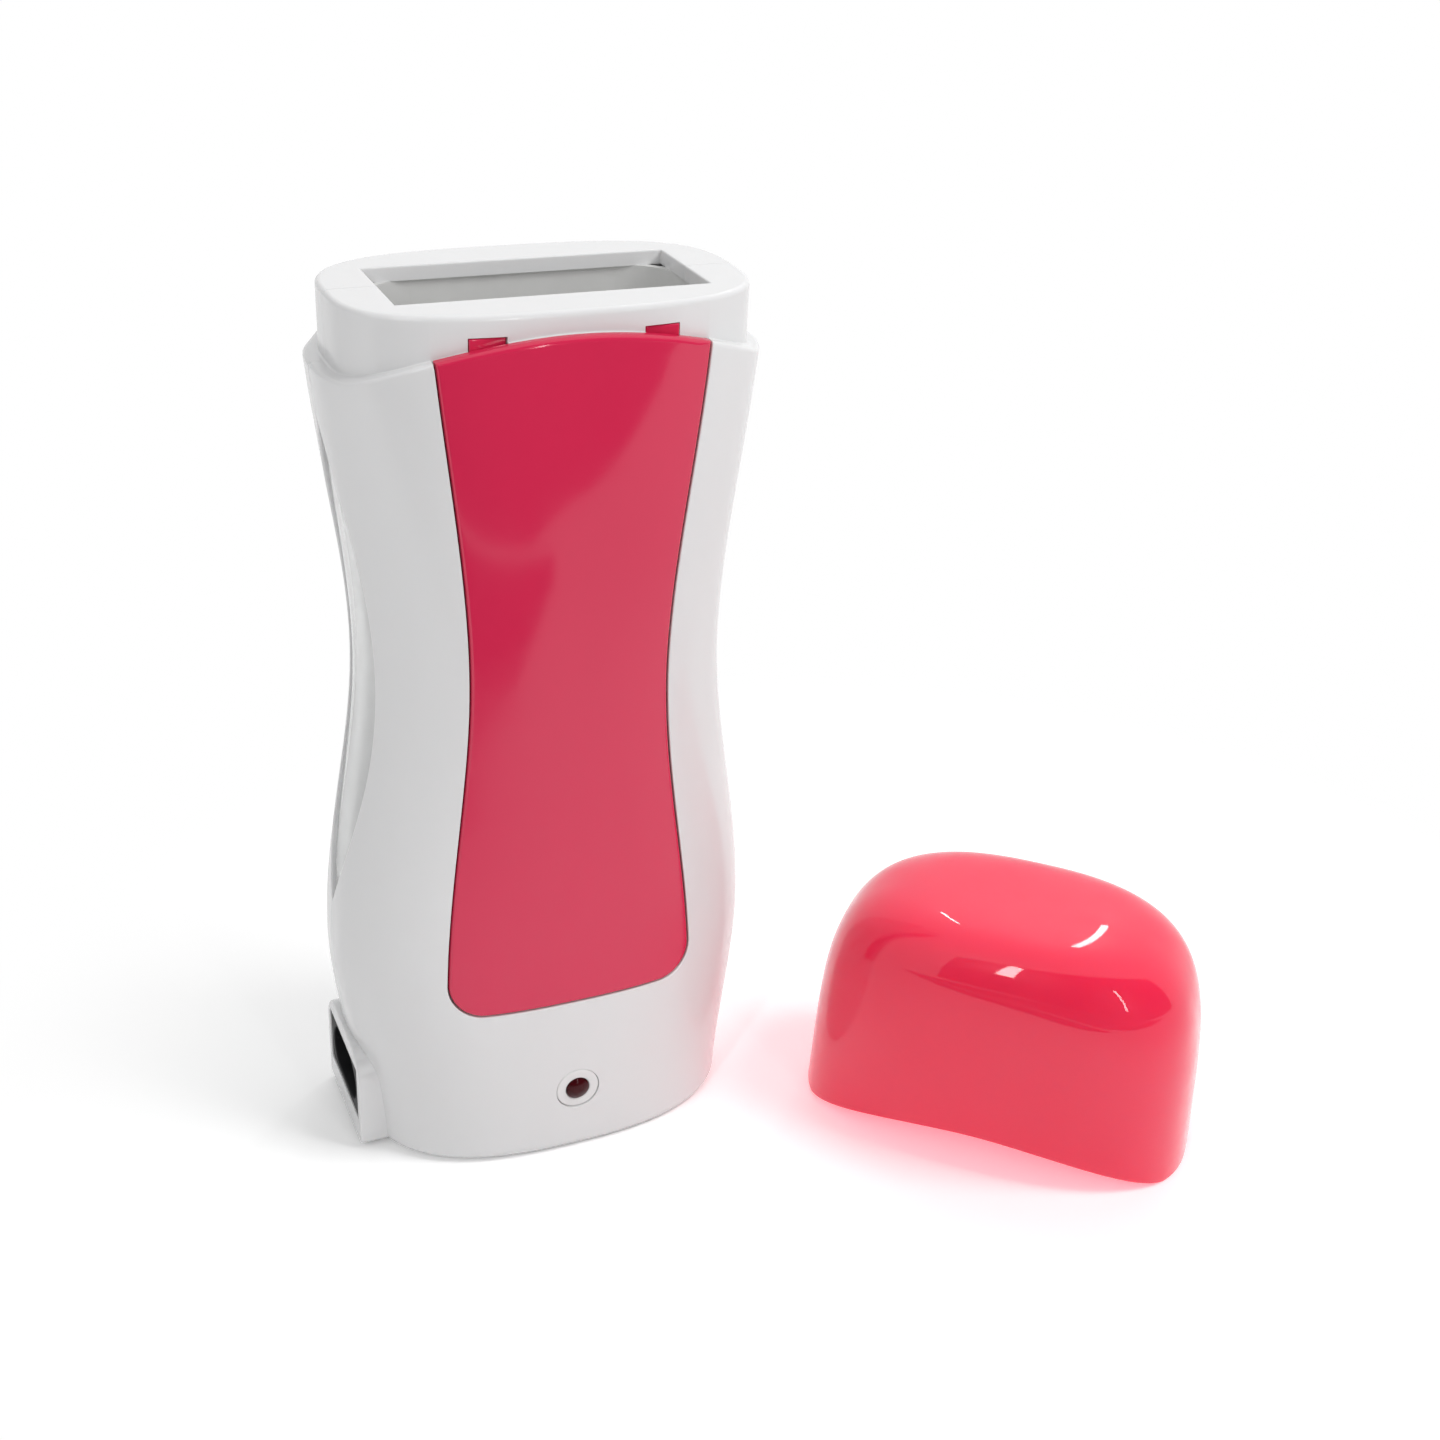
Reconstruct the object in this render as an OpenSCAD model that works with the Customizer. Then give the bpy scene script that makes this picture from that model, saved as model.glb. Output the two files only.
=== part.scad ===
// Roll-on wax heater: a waisted two-part housing with a clipped-in front panel, side windows, a heated
// sleeve for a 100 ml cartridge, a two-pin mains inlet, and a lift-off cap that stands beside it.
// Millimetres. The origin is the middle of the flat base, +Z is up, and the front panel faces -Y.

/* [Housing] */
// Height from the base to the top of the neck
body_h = 155; // [153:0.5:158]
// Width at the base
base_w = 68.4; // [66:0.2:70]
// Width across the hips, the widest place
hip_w = 75.6; // [74:0.2:77]
// Height of the hips
hip_z = 38; // [34:1:44]
// Width at the waist
waist_w = 63.2; // [62.6:0.2:65]
// Height of the waist, seen from the front
waist_z = 94; // [88:1:98]
// Width at the shoulder
shoulder_w = 72.8; // [72:0.2:74]
// Height of the shoulder at the two narrow sides
shoulder_z = 144; // [142.5:0.5:145]
// How far the shoulder line rises to the middle of the front and back
shoulder_rise = 7.6; // [6:0.2:8]
// Outward slope of the sides at the shoulder, in mm per mm
shoulder_flare = 0.09; // [0:0.01:0.12]
// Depth at the base
base_d = 49; // [47:0.2:51]
// Depth at the waist
waist_d = 39.6; // [39.2:0.2:41]
// Height of the waist, seen from the side
waist_side_z = 78; // [72:1:84]
// Depth at the shoulder
shoulder_d = 44.4; // [44:0.2:46]
// Fullness of the corners of the housing, as a superellipse exponent
body_n = 2.6; // [2.4:0.1:2.9]
// Radius of the edge round the base
base_edge_r = 2.4; // [1:0.2:2.8]
// Radius of the outer edge of the shoulder
shoulder_edge_r = 0.7; // [0.3:0.1:1]
// Wall of the housing
wall = 2.2; // [1.8:0.1:2.4]

/* [Neck] */
// Width of the neck that the cap goes over
neck_w = 67.4; // [66.6:0.2:67.8]
// Depth of the neck
neck_d = 39.6; // [39:0.2:39.8]
// Fullness of the corners of the neck
neck_n = 3; // [2.8:0.1:3.2]
// Radius of the edge round the top of the neck
neck_edge_r = 0.9; // [0.4:0.1:1.2]
// Thickness of the plate round the cartridge opening
top_plate = 2.4; // [2:0.1:2.8]

/* [Cartridge] */
// Width of the cartridge body
cartridge_w = 49.4; // [48:0.2:50]
// Depth of the cartridge body
cartridge_d = 20; // [19.4:0.2:20.4]
// Clearance round the cartridge in the opening
cartridge_gap = 0.5; // [0.3:0.1:0.8]
// How far the lip of the opening stands inside the sleeve
lip = 0.6; // [0.4:0.1:0.8]
// Wall of the sleeve
sleeve_wall = 1.2; // [1:0.1:1.4]
// Height of the underside of the sleeve above the base
sleeve_z = 33; // [31:0.5:34]

/* [Front panel] */
// Half width of the panel at its bottom corners
panel_low = 22.3; // [21:0.1:23]
// Half width of the panel at the waist
panel_mid = 16.9; // [16:0.1:18]
// Half width of the panel at its top
panel_top = 21.8; // [21:0.1:22.4]
// Height of the bottom edge of the panel
panel_z = 31.6; // [30:0.2:33]
// Radius of the bottom corners
panel_r = 6; // [4:0.5:8]
// Thickness of the panel
panel_t = 1.8; // [1.6:0.1:2]
// Radius of the front edge along the top of the panel
panel_lip_r = 0.8; // [0.4:0.1:1.2]
// Gap round the panel
panel_gap = 0.3; // [0.2:0.05:0.4]
// Middle of each hook, measured from the middle of the panel
hook_x = 13.8; // [12:0.2:15]
// Width of a hook
hook_w = 5.6; // [4:0.2:6.4]
// Height of a hook above the shoulder line
hook_h = 1.2; // [0.8:0.1:1.4]

/* [Side windows] */
// Half width of a window at its widest
window_half = 8.4; // [7.6:0.2:9]
// Height of the widest place
window_z = 91; // [89:0.5:93]
// Distance from the widest place to either tip
window_reach = 44; // [40:0.5:45]
// How far the pane lies below the outside of the housing
window_inset = 0.7; // [0.5:0.1:0.9]

/* [Cap] */
// Height of the cap from its rim to the top
cap_h = 46; // [43:0.5:52]
// Wall of the cap at the sides and the top
cap_wall = 2; // [1.6:0.1:2.2]
// Clearance between the cap and the neck
cap_gap = 0.3; // [0.2:0.05:0.4]
// Distance that the cap stands to the right of the housing
cap_x = 79.8; // [76:0.2:90]
// Distance that the cap stands in front of the housing
cap_y = 39.4; // [36:0.2:60]
// Turn of the cap, clockwise from above
cap_turn = 43; // [30:1:60]

/* [Lamp and inlet] */
// Height of the middle of the lamp
lamp_z = 13.2; // [12.6:0.1:13.8]
// Outside diameter of the lamp bezel
bezel_od = 8; // [7.6:0.1:8.4]
// Diameter of the lamp lens
lens_d = 4.2; // [3.6:0.1:4.6]
// Width of the inlet moulding
inlet_w = 20; // [19.4:0.2:20.4]
// Height of the inlet moulding
inlet_h = 11; // [10.6:0.2:11.6]
// Height of the middle of the inlet
inlet_z = 11.2; // [10.8:0.1:11.6]
// How far the face of the inlet boss lies inside the widest part of the housing
boss_back = 0.8; // [0.4:0.1:1.2]
// Pitch of the two inlet pins
pin_pitch = 8.6; // [8.4:0.1:8.8]
// Diameter of an inlet pin
pin_d = 2.4; // [2.2:0.1:2.6]

/* [Heater] */
// Width of the heater plate
plate_w = 40; // [38:0.5:41]
// Length of the heater plate
plate_l = 92; // [86:1:96]
// Thickness of the heater plate behind the sleeve
plate_t = 1.4; // [1.2:0.1:1.6]
// Length of one heating tablet
tablet_l = 12; // [10:0.5:13]
// Width of a heating tablet
tablet_w = 14; // [12:0.5:15]
// Thickness of a heating tablet
tablet_t = 2; // [1.8:0.1:2.1]

/* [Hidden] */
// Clearance between fixed pieces that slide together
fit = 0.15;
// Overlap that joins two shapes of one piece
bite = 0.6;
// Amount that a cutting shape stands past what it cuts
past = 1;
// Divisions of the housing: round each half, and up its height
body_steps = 24;
body_rows = 20;
cavity_steps = 16;
cavity_rows = 14;
// Divisions of the panel and the windows: across and up
panel_cols = 12;
panel_rows = 20;
pane_cols = 6;
pane_rows = 18;
// Divisions of the cap: round it and up it, and the share of a row that is left open at its middle
cap_steps = 44;
cap_rows = 14;
cap_pole = 0.35;

white = "#f0f0f0";
crimson = "#d6415f";
pink = "#f2566f";
clear = "#e8eef0";
metal = "#c8c8cc";

// ---- Sizes of the housing that follow from the driving ones ----

opening_w = cartridge_w + 2 * cartridge_gap;
opening_d = cartridge_d + 2 * cartridge_gap;
sleeve_w = opening_w + 2 * lip;
sleeve_d = opening_d + 2 * lip;
sleeve_top = body_h - top_plate;
sleeve_back = sleeve_d / 2 + sleeve_wall;
// Corner radius inside the sleeve, which clears the waist of the housing
sleeve_r = 8.4;
// Front wall of the housing with the seat that the panel is let into
front_wall = panel_t + wall;
neck_h = body_h - shoulder_z;
body_reach = max(hip_w, base_d) / 2;

// ---- Form of the housing ----

// Angle between the rows round a rounded edge
edge_turn = 30;
// Arc that the shoulder follows between the two ends of the neck
arch_half = neck_w / 2;
arch_r = (arch_half * arch_half + shoulder_rise * shoulder_rise) / (2 * shoulder_rise);
// Height at which the level rows of the housing start to bend to the shoulder line
bend_z = 118;

// Smooth change from v0 to v1 as t goes from 0 to 1, with slope s1 at the end
function ease(t, v0, v1, s1 = 0) =
    let (u = min(max(t, 0), 1)) v0 + (v1 - v0) * u * u * (3 - 2 * u) + s1 * (u * u * u - u * u);

// Inset of the rounded base edge at height z
function edge_inset(z) =
    let (q = min(max(base_edge_r - z, 0), base_edge_r)) base_edge_r - sqrt(base_edge_r * base_edge_r - q * q);

// Half width of the housing at height z
function half_w(z) = -edge_inset(z) + (
    z < hip_z ? ease(z / hip_z, base_w / 2, hip_w / 2)
    : z < waist_z ? ease((z - hip_z) / (waist_z - hip_z), hip_w / 2, waist_w / 2)
    : ease((z - waist_z) / (shoulder_z - waist_z), waist_w / 2, shoulder_w / 2,
        shoulder_flare * (shoulder_z - waist_z)));

// Half depth of the housing at height z
function half_d(z) = -edge_inset(z) + (
    z < waist_side_z ? ease(z / waist_side_z, base_d / 2, waist_d / 2)
    : ease((z - waist_side_z) / (shoulder_z - waist_side_z), waist_d / 2, shoulder_d / 2));

// Half depth at x of a superellipse of half width w and half depth d
function bow(x, w, d, n) = d * pow(max(0, 1 - pow(min(abs(x) / w, 1), n)), 1 / n);

// Distance from the parting plane to the face of the housing at x and z, drawn in by iw and id
function face_y(x, z, iw = 0, id = 0) = bow(x, half_w(z) - iw, half_d(z) - id, body_n);

// Distance from the middle plane to the side of the housing at y and z, drawn in by inset
function side_x(y, z, inset = 0) = bow(y, half_d(z) - inset, half_w(z) - inset, body_n);

// Rise of the shoulder line above its ends at x
function lift(x) = abs(x) >= arch_half ? 0 : sqrt(arch_r * arch_r - x * x) - (arch_r - shoulder_rise);

// Share of that rise in a row at height z, where the top row lies at height top
function share(z, top) = z <= bend_z ? 0 : pow((z - bend_z) / (top - bend_z), 2);

// Position i of steps across a half outline, from -1 to 1, closer together at the full corners
function across(i, steps, n) = let (c = -cos(180 * i / steps)) sign(c) * pow(abs(c), 2 / n);

// ---- Solids made of rows of points ----

// Two triangles between neighbouring rows, from the corners a and b below and c and d above
function quad(a, b, c, d) = [[a, c, b], [b, c, d]];

// Half solid in front of a flat back. Each ring runs along the front from the left end of the back to
// its right end. The ridge holds the points of the top row's back edge, between its ends, and one
// face fills the back below it, down to the ring that lies band rings under the top.
module half_solid(rings, ridge = [], band = 1) {
    cols = len(rings[0]);
    rows = len(rings);
    base = (rows - 1) * cols;
    ridge_at = rows * cols;
    last = len(ridge) - 1;
    bare = len(ridge) == 0;
    front = [for (j = [0:rows - 2], i = [0:cols - 2]) let (a = j * cols + i) each
        quad(a, a + 1, a + cols, a + cols + 1)];
    low = rows - 1 - band;
    back = [for (j = [0:bare ? rows - 2 : low - 1]) let (l = j * cols, r = l + cols - 1) each
        quad(r, l, r + cols, l + cols)];
    top_band = bare ? [] : [concat([low * cols], [for (j = [low:rows - 1]) (j + 1) * cols - 1],
        [for (i = [last:-1:0]) ridge_at + i], [for (j = [rows - 1:-1:low + 1]) j * cols])];
    shift = bare ? 0 : (cols - 2 - len(ridge)) / 2;
    top = bare ? [[for (i = [cols - 1:-1:0]) base + i]] : concat(
        shift == 0 ? [[base, ridge_at, base + 1]] : [[base + 1, base, ridge_at, base + 2]],
        [for (i = [0:last - 1]) [base + 1 + shift + i, ridge_at + i, ridge_at + i + 1, base + 2 + shift + i]],
        shift == 0 ? [[base + cols - 2, ridge_at + last, base + cols - 1]]
        : [[base + cols - 3, ridge_at + last, base + cols - 1, base + cols - 2]]);
    polyhedron(points = concat([for (r = rings) each r], ridge),
        faces = concat([[for (i = [0:cols - 1]) i]], front, back, top_band, top));
}

// Plate between an outer and an inner grid of points, seen from outside as rows going up and
// columns going right
module slab(outer, inner) {
    rows = len(outer);
    cols = len(outer[0]);
    in = rows * cols;
    faces = concat(
        [for (j = [0:rows - 2], i = [0:cols - 2]) let (a = j * cols + i) each
            quad(a, a + 1, a + cols, a + cols + 1)],
        [for (j = [0:rows - 2], i = [0:cols - 2]) let (a = in + j * cols + i) each
            quad(a + 1, a, a + cols + 1, a + cols)],
        [for (i = [0:cols - 2]) let (a = i, t = (rows - 1) * cols + i) each
            concat(quad(in + a, in + a + 1, a, a + 1), quad(t, t + 1, in + t, in + t + 1))],
        [for (j = [0:rows - 2]) let (a = j * cols, b = a + cols - 1) each
            concat(quad(in + a, a, in + a + cols, a + cols), quad(b, in + b, b + cols, in + b + cols))]);
    polyhedron(points = concat([for (r = outer) each r], [for (r = inner) each r]), faces = faces);
}

// Solid through closed rings of points, anticlockwise from above, with flat ends
module loft(rings) {
    cols = len(rings[0]);
    rows = len(rings);
    polyhedron(points = [for (r = rings) each r], faces = concat(
        [[for (i = [0:cols - 1]) i]],
        [for (j = [0:rows - 2], i = [0:cols - 1]) let (a = j * cols + i, b = j * cols + (i + 1) % cols) each
            quad(a, b, a + cols, b + cols)],
        [[for (i = [cols - 1:-1:0]) (rows - 1) * cols + i]]));
}

// Half of the housing's form, drawn in by iw and id, from the rows at heights zs. Its back is the
// plane y = reach, and the edge of its top is rounded with radius edge_r.
module half_body(zs, steps, iw = 0, id = 0, reach = 0, edge_r = 0) {
    top = zs[len(zs) - 1];
    // Each row as its height and how far it is drawn in further
    rows = edge_r == 0 ? [for (z = zs) [z, 0]] : concat([for (z = zs) if (z < top - edge_r) [z, 0]],
        [for (a = [0:edge_turn:90]) [top - edge_r * (1 - sin(a)), edge_r * (1 - cos(a))]]);
    function point_at(row, i) = let (
            x = (half_w(row[0]) - iw - row[1]) * across(i, steps, body_n),
            h = row[0] + lift(x) * share(row[0], top))
        [x, i == 0 || i == steps ? 0 : -face_y(x, h, iw + row[1], id + row[1]), h];
    ends = reach > 0;
    rings = [for (row = rows) concat(
        ends ? [point_at(row, 0) + [0, reach, 0]] : [],
        [for (i = [0:steps]) point_at(row, i)],
        ends ? [point_at(row, steps) + [0, reach, 0]] : [])];
    crest = rows[len(rows) - 1];
    half_solid(rings, [for (i = [1:steps - 1]) let (p = point_at(crest, i)) [p[0], reach, p[2]]],
        edge_r == 0 ? 1 : 1 + 90 / edge_turn);
}

// Half of a straight superellipse column, from rows of height and inset, with its back at y = reach
module half_column(w, d, n, rows, steps, reach = 0) {
    half_solid([for (r = rows) let (hw = w / 2 - r[1], hd = d / 2 - r[1]) concat(
        reach > 0 ? [[-hw, reach, r[0]]] : [],
        [for (i = [0:steps]) let (x = hw * across(i, steps, n))
            [x, i == 0 || i == steps ? 0 : -bow(x, hw, hd, n), r[0]]],
        reach > 0 ? [[hw, reach, r[0]]] : [])]);
}

// ---- Housing ----

// Case screws: x, height, and how far the seat of the head lies behind the parting plane
case_screws_at = [[-26, 24, 14], [26, 24, 14], [-30.2, shoulder_z - 5.4, 10], [30.2, shoulder_z - 5.4, 10]];
screw_d = 2.6;
screw_head_d = 4.6;
screw_head_h = 1.6;
screw_slot = 0.6;
// Depth that a screw bites into the front shell, and its play in the bitten hole, the clearance
// hole and the sunk seat
screw_in = 8;
bite_play = 0.06;
shank_play = 0.6;
head_play = 0.6;
// Diameter of a screw's boss, and of its wider end round a sunk head
screw_boss_d = 5.4;
sunk_boss_d = 7.6;

// Posts that carry the sleeve: distance from the middle in x and y, and diameter
sleeve_post = [14, 9, 5];

// Inlet boss: place of its face, length from it inwards, wall, corner radius, and height above the base
boss_x = hip_w / 2 - boss_back;
inlet_tunnel = 10;
inlet_boss_wall = 1.7;
inlet_boss_r = 6;
inlet_boss_lift = 1.1;

// Rows of the housing: the rounded base edge, as shares of its radius, then even steps
edge_shares = [0, 0.12, 0.45];
outer_zs = concat(edge_shares * base_edge_r,
    [for (k = [0:body_rows]) base_edge_r + (shoulder_z - base_edge_r) * k / body_rows]);
cavity_zs = [for (k = [0:cavity_rows]) wall + (shoulder_z - 2 * wall) * k / cavity_rows];

// Rows of the neck, as height and inset, round the edge at its top
neck_rows = concat([[shoulder_z - wall, 0]],
    [for (a = [0:30:90]) [body_h - neck_edge_r * (1 - sin(a)), neck_edge_r * (1 - cos(a))]]);

// What stands inside the front half: the sleeve's posts and the bosses of the case screws, which
// are wider round a sunk head
module standing(sunk) {
    for (s = [-1, 1]) translate([s * sleeve_post[0], -sleeve_post[1], 0])
        cylinder(d = sleeve_post[2], h = sleeve_z, $fn = 40);
    for (c = case_screws_at) translate([c[0], 0, c[1]]) rotate([90, 0, 0]) {
        cylinder(d = screw_boss_d, h = body_reach, $fn = 48);
        if (sunk) translate([0, 0, c[2] - wall]) cylinder(d = sunk_boss_d, h = body_reach, $fn = 48);
    }
}

// Walls of the front half of the housing, with a front wall of depth_wall, before its holes
module half_walls(depth_wall, sunk) {
    difference() {
        union() {
            half_body(outer_zs, body_steps, edge_r = shoulder_edge_r);
            half_column(neck_w, neck_d, neck_n, neck_rows, body_steps);
        }
        difference() {
            half_body(cavity_zs, cavity_steps, wall, depth_wall, past);
            standing(sunk);
        }
        difference() {
            half_column(neck_w - 2 * wall, neck_d - 2 * wall, neck_n,
                [[shoulder_z - 4 * wall, 0], [sleeve_top, 0]], cavity_steps, past);
            standing(sunk);
        }
    }
    inlet_boss();
}

// Holes that both halves of the housing share
module shared_holes() {
    translate([-opening_w / 2, -opening_d / 2, sleeve_top - past])
        cube([opening_w, opening_d, top_plate + 2 * past]);
    rotate([90, 0, 90]) linear_extrude(2 * hip_w, center = true) polygon(leaf(window_half, window_reach));
    translate([-boss_x - past, -inlet_w / 2 - fit, inlet_z - inlet_h / 2 - fit])
        cube([inlet_tunnel + 2 * past, inlet_w + 2 * fit, inlet_h + 2 * fit]);
}

// Front half of the raised boss and tunnel round the inlet
module inlet_boss() {
    half = inlet_w / 2 + inlet_boss_wall;
    top = inlet_z + inlet_h / 2 + 2 * inlet_boss_wall;
    translate([-boss_x, 0, 0]) rotate([90, 0, 90]) linear_extrude(inlet_tunnel) intersection() {
        union() {
            translate([-half, inlet_boss_lift]) square([2 * half, top - inlet_boss_r - inlet_boss_lift]);
            translate([inlet_boss_r - half, inlet_boss_lift])
                square([2 * (half - inlet_boss_r), top - inlet_boss_lift]);
            for (s = [-1, 1]) translate([s * (half - inlet_boss_r), top - inlet_boss_r])
                circle(inlet_boss_r, $fn = 48);
        }
        translate([-half - past, 0]) square([half + past, top + past]);
    }
}

// Front half of the housing, with the panel's seat, the lamp's hole and the posts of its board
module front_shell() {
    color(white) difference() {
        half_walls(front_wall, false);
        shared_holes();
        panel_block(panel_gap, past, seat_gap);
        for (s = [-1, 1]) {
            panel_hook(s, fit);
            panel_leg(s, fit);
        }
        for (c = case_screws_at) translate([c[0], past, c[1]]) rotate([90, 0, 0])
            cylinder(d = screw_d + bite_play, h = screw_in + 2 * past, $fn = 32);
        translate([0, -body_reach, lamp_z]) rotate([-90, 0, 0])
            cylinder(d = bezel_od + fit, h = body_reach - lamp_face + front_wall + past, $fn = 64);
    }
    color(white) for (s = [-1, 1]) translate([s * board_post_x, -board_y, lamp_z]) rotate([90, 0, 0]) {
        cylinder(d = board_post_d, h = face_y(board_post_x, lamp_z) - wall - board_y, $fn = 32);
        translate([0, 0, -board_t - board_pin_past])
            cylinder(d = board_pin_d, h = board_t + board_pin_past + bite, $fn = 24);
    }
}

// Rear half of the housing, with the sunk seats of the case screws
module rear_shell() {
    color(white) difference() {
        mirror([0, 1, 0]) half_walls(wall, true);
        shared_holes();
        for (c = case_screws_at) translate([c[0], 0, c[1]]) rotate([-90, 0, 0]) {
            translate([0, 0, -past]) cylinder(d = screw_d + shank_play, h = c[2] + 2 * past, $fn = 32);
            translate([0, 0, c[2]]) cylinder(d = screw_head_d + head_play, h = body_reach, $fn = 48);
        }
    }
}

// The four screws that hold the halves together, with cross slots
module case_screws() {
    color(metal) for (c = case_screws_at) translate([c[0], c[2], c[1]]) rotate([90, 0, 0]) {
        cylinder(d = screw_d, h = c[2] + screw_in, $fn = 32);
        difference() {
            translate([0, 0, -screw_head_h]) cylinder(d = screw_head_d, h = screw_head_h, $fn = 40);
            for (a = [0, 90]) rotate([0, 0, a])
                translate([-screw_head_d / 3, -screw_slot / 2, -screw_head_h - past])
                    cube([screw_head_d * 2 / 3, screw_slot, screw_head_h / 2 + past]);
        }
    }
}

// ---- Front panel ----

// Height of the panel's top corners, which lie on the shoulder line
panel_edge_top = shoulder_z + lift(panel_top);
// Gap between the panel's back and its seat
seat_gap = 0.1;
// Hook: depth below the shoulder line, thickness of that root, and reach into the neck's wall
hook_root = 2.4;
hook_root_h = 1.8;
hook_root_t = 1.2;
hook_deep = wall * 0.65;
// Snap leg: middle, height above the panel's bottom edge, width and thickness
leg_x = 9;
leg_z = panel_z + 6;
leg_w = 5;
leg_t = 1.4;
// The catch at its end: length, height, and play behind the seat
catch_l = 1;
catch_h = 0.6;
catch_play = 0.4;

// Half width of the panel at height z
function panel_half(z) = z < waist_z ? ease((z - panel_z) / (waist_z - panel_z), panel_low, panel_mid)
    : ease((z - waist_z) / (panel_edge_top - waist_z), panel_mid, panel_top,
        shoulder_flare * (panel_edge_top - waist_z));

// Half width of the panel in its rounded bottom corners as well
function panel_edge(z) = let (q = max(panel_r - (z - panel_z), 0))
    panel_half(z) - panel_r + sqrt(max(panel_r * panel_r - q * q, 0));

// Rows of the panel, each as its height along the edge and how far its front is sunk: round the
// corner, evenly to the lip, and round the lip
panel_rows_at = concat(
    [for (a = [0:22.5:67.5]) [panel_z + panel_r * (1 - cos(a)), 0]],
    [for (k = [0:panel_rows])
        [panel_z + panel_r + (panel_edge_top - panel_lip_r - panel_z - panel_r) * k / panel_rows, 0]],
    [for (a = [edge_turn:edge_turn:90])
        [panel_edge_top - panel_lip_r * (1 - sin(a)), panel_lip_r * (1 - cos(a))]]);

// The panel's form, or the tool for its seat, which is grown sideways by gap, upwards by rise and
// inwards by deep
module panel_block(gap = 0, rise = 0, deep = 0) {
    last = len(panel_rows_at) - 1;
    function grid(out, lip) = [for (j = [0:last]) let (
            z = panel_rows_at[j][0],
            grow = j == last ? rise : j == 0 ? -gap : 0)
        [for (i = [-panel_cols / 2:panel_cols / 2]) let (
                x = (panel_edge(z) + gap) * i * 2 / panel_cols,
                h = z + (lift(x) - lift(panel_top)) * share(z, panel_edge_top))
            [x, -face_y(x, h) - out + lip * panel_rows_at[j][1], h + grow]]];
    slab(grid(rise, gap > 0 ? 0 : 1), grid(-panel_t - deep, 0));
}

// One of the two hooks at the top of the panel, or with room its notch in the neck
module panel_hook(s, room = 0) {
    line = shoulder_z + lift(hook_x) - hook_root;
    face = bow(hook_x, neck_w / 2, neck_d / 2, neck_n);
    front = room > 0 ? past : -fit;
    back = hook_deep + room;
    translate([s * hook_x - hook_w / 2 - room, -face - front, line - room])
        cube([hook_w + 2 * room, front + back, hook_root + hook_h + 2 * room]);
    if (room == 0)
        translate([s * hook_x - hook_w / 2, -face - hook_root_t, line])
            cube([hook_w, hook_root_t + back, hook_root_h]);
}

// One of the two snap legs near the bottom of the panel, or with room its slot in the seat
module panel_leg(s, room = 0) {
    back = face_y(leg_x, leg_z) - panel_t;
    reach = wall + seat_gap + catch_play + catch_l;
    translate([s * leg_x - leg_w / 2 - room, -back - bite, leg_z - room])
        cube([leg_w + 2 * room, reach + bite + (room > 0 ? past : 0), leg_t + 2 * room]);
    if (room == 0)
        translate([s * leg_x - leg_w / 2, -back + reach - catch_l, leg_z])
            cube([leg_w, catch_l, leg_t + catch_h]);
}

// The coloured panel on the front, with its hooks and snap legs
module front_panel() {
    color(crimson) {
        panel_block();
        for (s = [-1, 1]) {
            panel_hook(s);
            panel_leg(s);
        }
    }
}

// ---- Side windows ----

// Fullness of a window's leaf outline, as an exponent
leaf_n = 2.6;
// Distance from the inside of the housing's wall to the back of the pane
pane_back = 0.5;
// Flange behind the wall: its gap to the wall, its thickness, and how far it laps past the opening
flange_gap = 0.25;
flange_t = 0.6;
flange_lap = 1;

// Half width of a leaf at the share t of its reach, from -1 to 1
function leaf_half(t, half) = half * (1 - pow(min(abs(t), 1), leaf_n));

// Outline of a leaf, as distance from the parting plane and height
function leaf(half, reach) = [for (s = [1, -1], k = [0:pane_rows - 1])
    let (t = s * (k * 2 / pane_rows - 1)) [-s * leaf_half(t, half), window_z + t * reach]];

// Distance of the cavity's side from the middle plane at y and z, with room inside it
function cavity_side(y, z, room) = bow(y, half_d(z) - front_wall - room, half_w(z) - wall - room, body_n);

// A pane on the right side: the part in the opening, and a thin flange behind the wall
module pane() {
    function rows(half, reach, tip) = [for (j = [-pane_rows / 2:pane_rows / 2]) let (t = j * 2 / pane_rows)
        [for (i = [-pane_cols / 2:pane_cols / 2])
            [max(leaf_half(t, half), tip) * i * 2 / pane_cols, window_z + t * reach]]];
    function at_side(points, inset) = [for (r = points)
        [for (p = r) [side_x(p[0], p[1], inset), p[0], p[1]]]];
    function at_cavity(points, room) = [for (r = points)
        [for (p = r) [cavity_side(p[0], p[1], room), p[0], p[1]]]];
    plug = rows(window_half - fit, window_reach - 6 * fit, fit);
    flange = rows(window_half + flange_lap, window_reach + fit, flange_lap);
    slab(at_side(plug, window_inset), at_cavity(plug, pane_back));
    slab(at_cavity(flange, flange_gap), at_cavity(flange, flange_gap + flange_t));
}

// Clear pane in the right side
module window_right() {
    color(clear) pane();
}

// Clear pane in the left side
module window_left() {
    color(clear) mirror([1, 0, 0]) pane();
}

// ---- Cap ----

// Crown of the cap, as superellipse exponents seen from the front and from the side
cap_crown = [5.5, 9];
// Draft of the cap's sides, in mm per mm, seen from the front and from the side
cap_draft = [0.045, 0.02];
// Exponent that draws the rows of the cap towards its crown
cap_ease = 0.4;

// Rings of the cap's form: outline half sizes at the rim, height, height where the draft starts
function cap_rings(hw, hd, h, n, draft_z, start) = [for (k = [0:cap_rows])
    let (t = pow(sin(90 * k / (cap_rows + cap_pole)), cap_ease), z = t * h,
        w = (hw - cap_draft[0] * max(z - draft_z, 0)) * pow(1 - pow(t, cap_crown[0]), 1 / cap_crown[0]),
        d = (hd - cap_draft[1] * max(z - draft_z, 0)) * pow(1 - pow(t, cap_crown[1]), 1 / cap_crown[1]))
    [for (i = [0:cap_steps - 1]) let (c = cos(360 * i / cap_steps), s = sin(360 * i / cap_steps))
        [w * sign(c) * pow(abs(c), 2 / n), d * sign(s) * pow(abs(s), 2 / n), k == 0 ? start : z]]];

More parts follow.
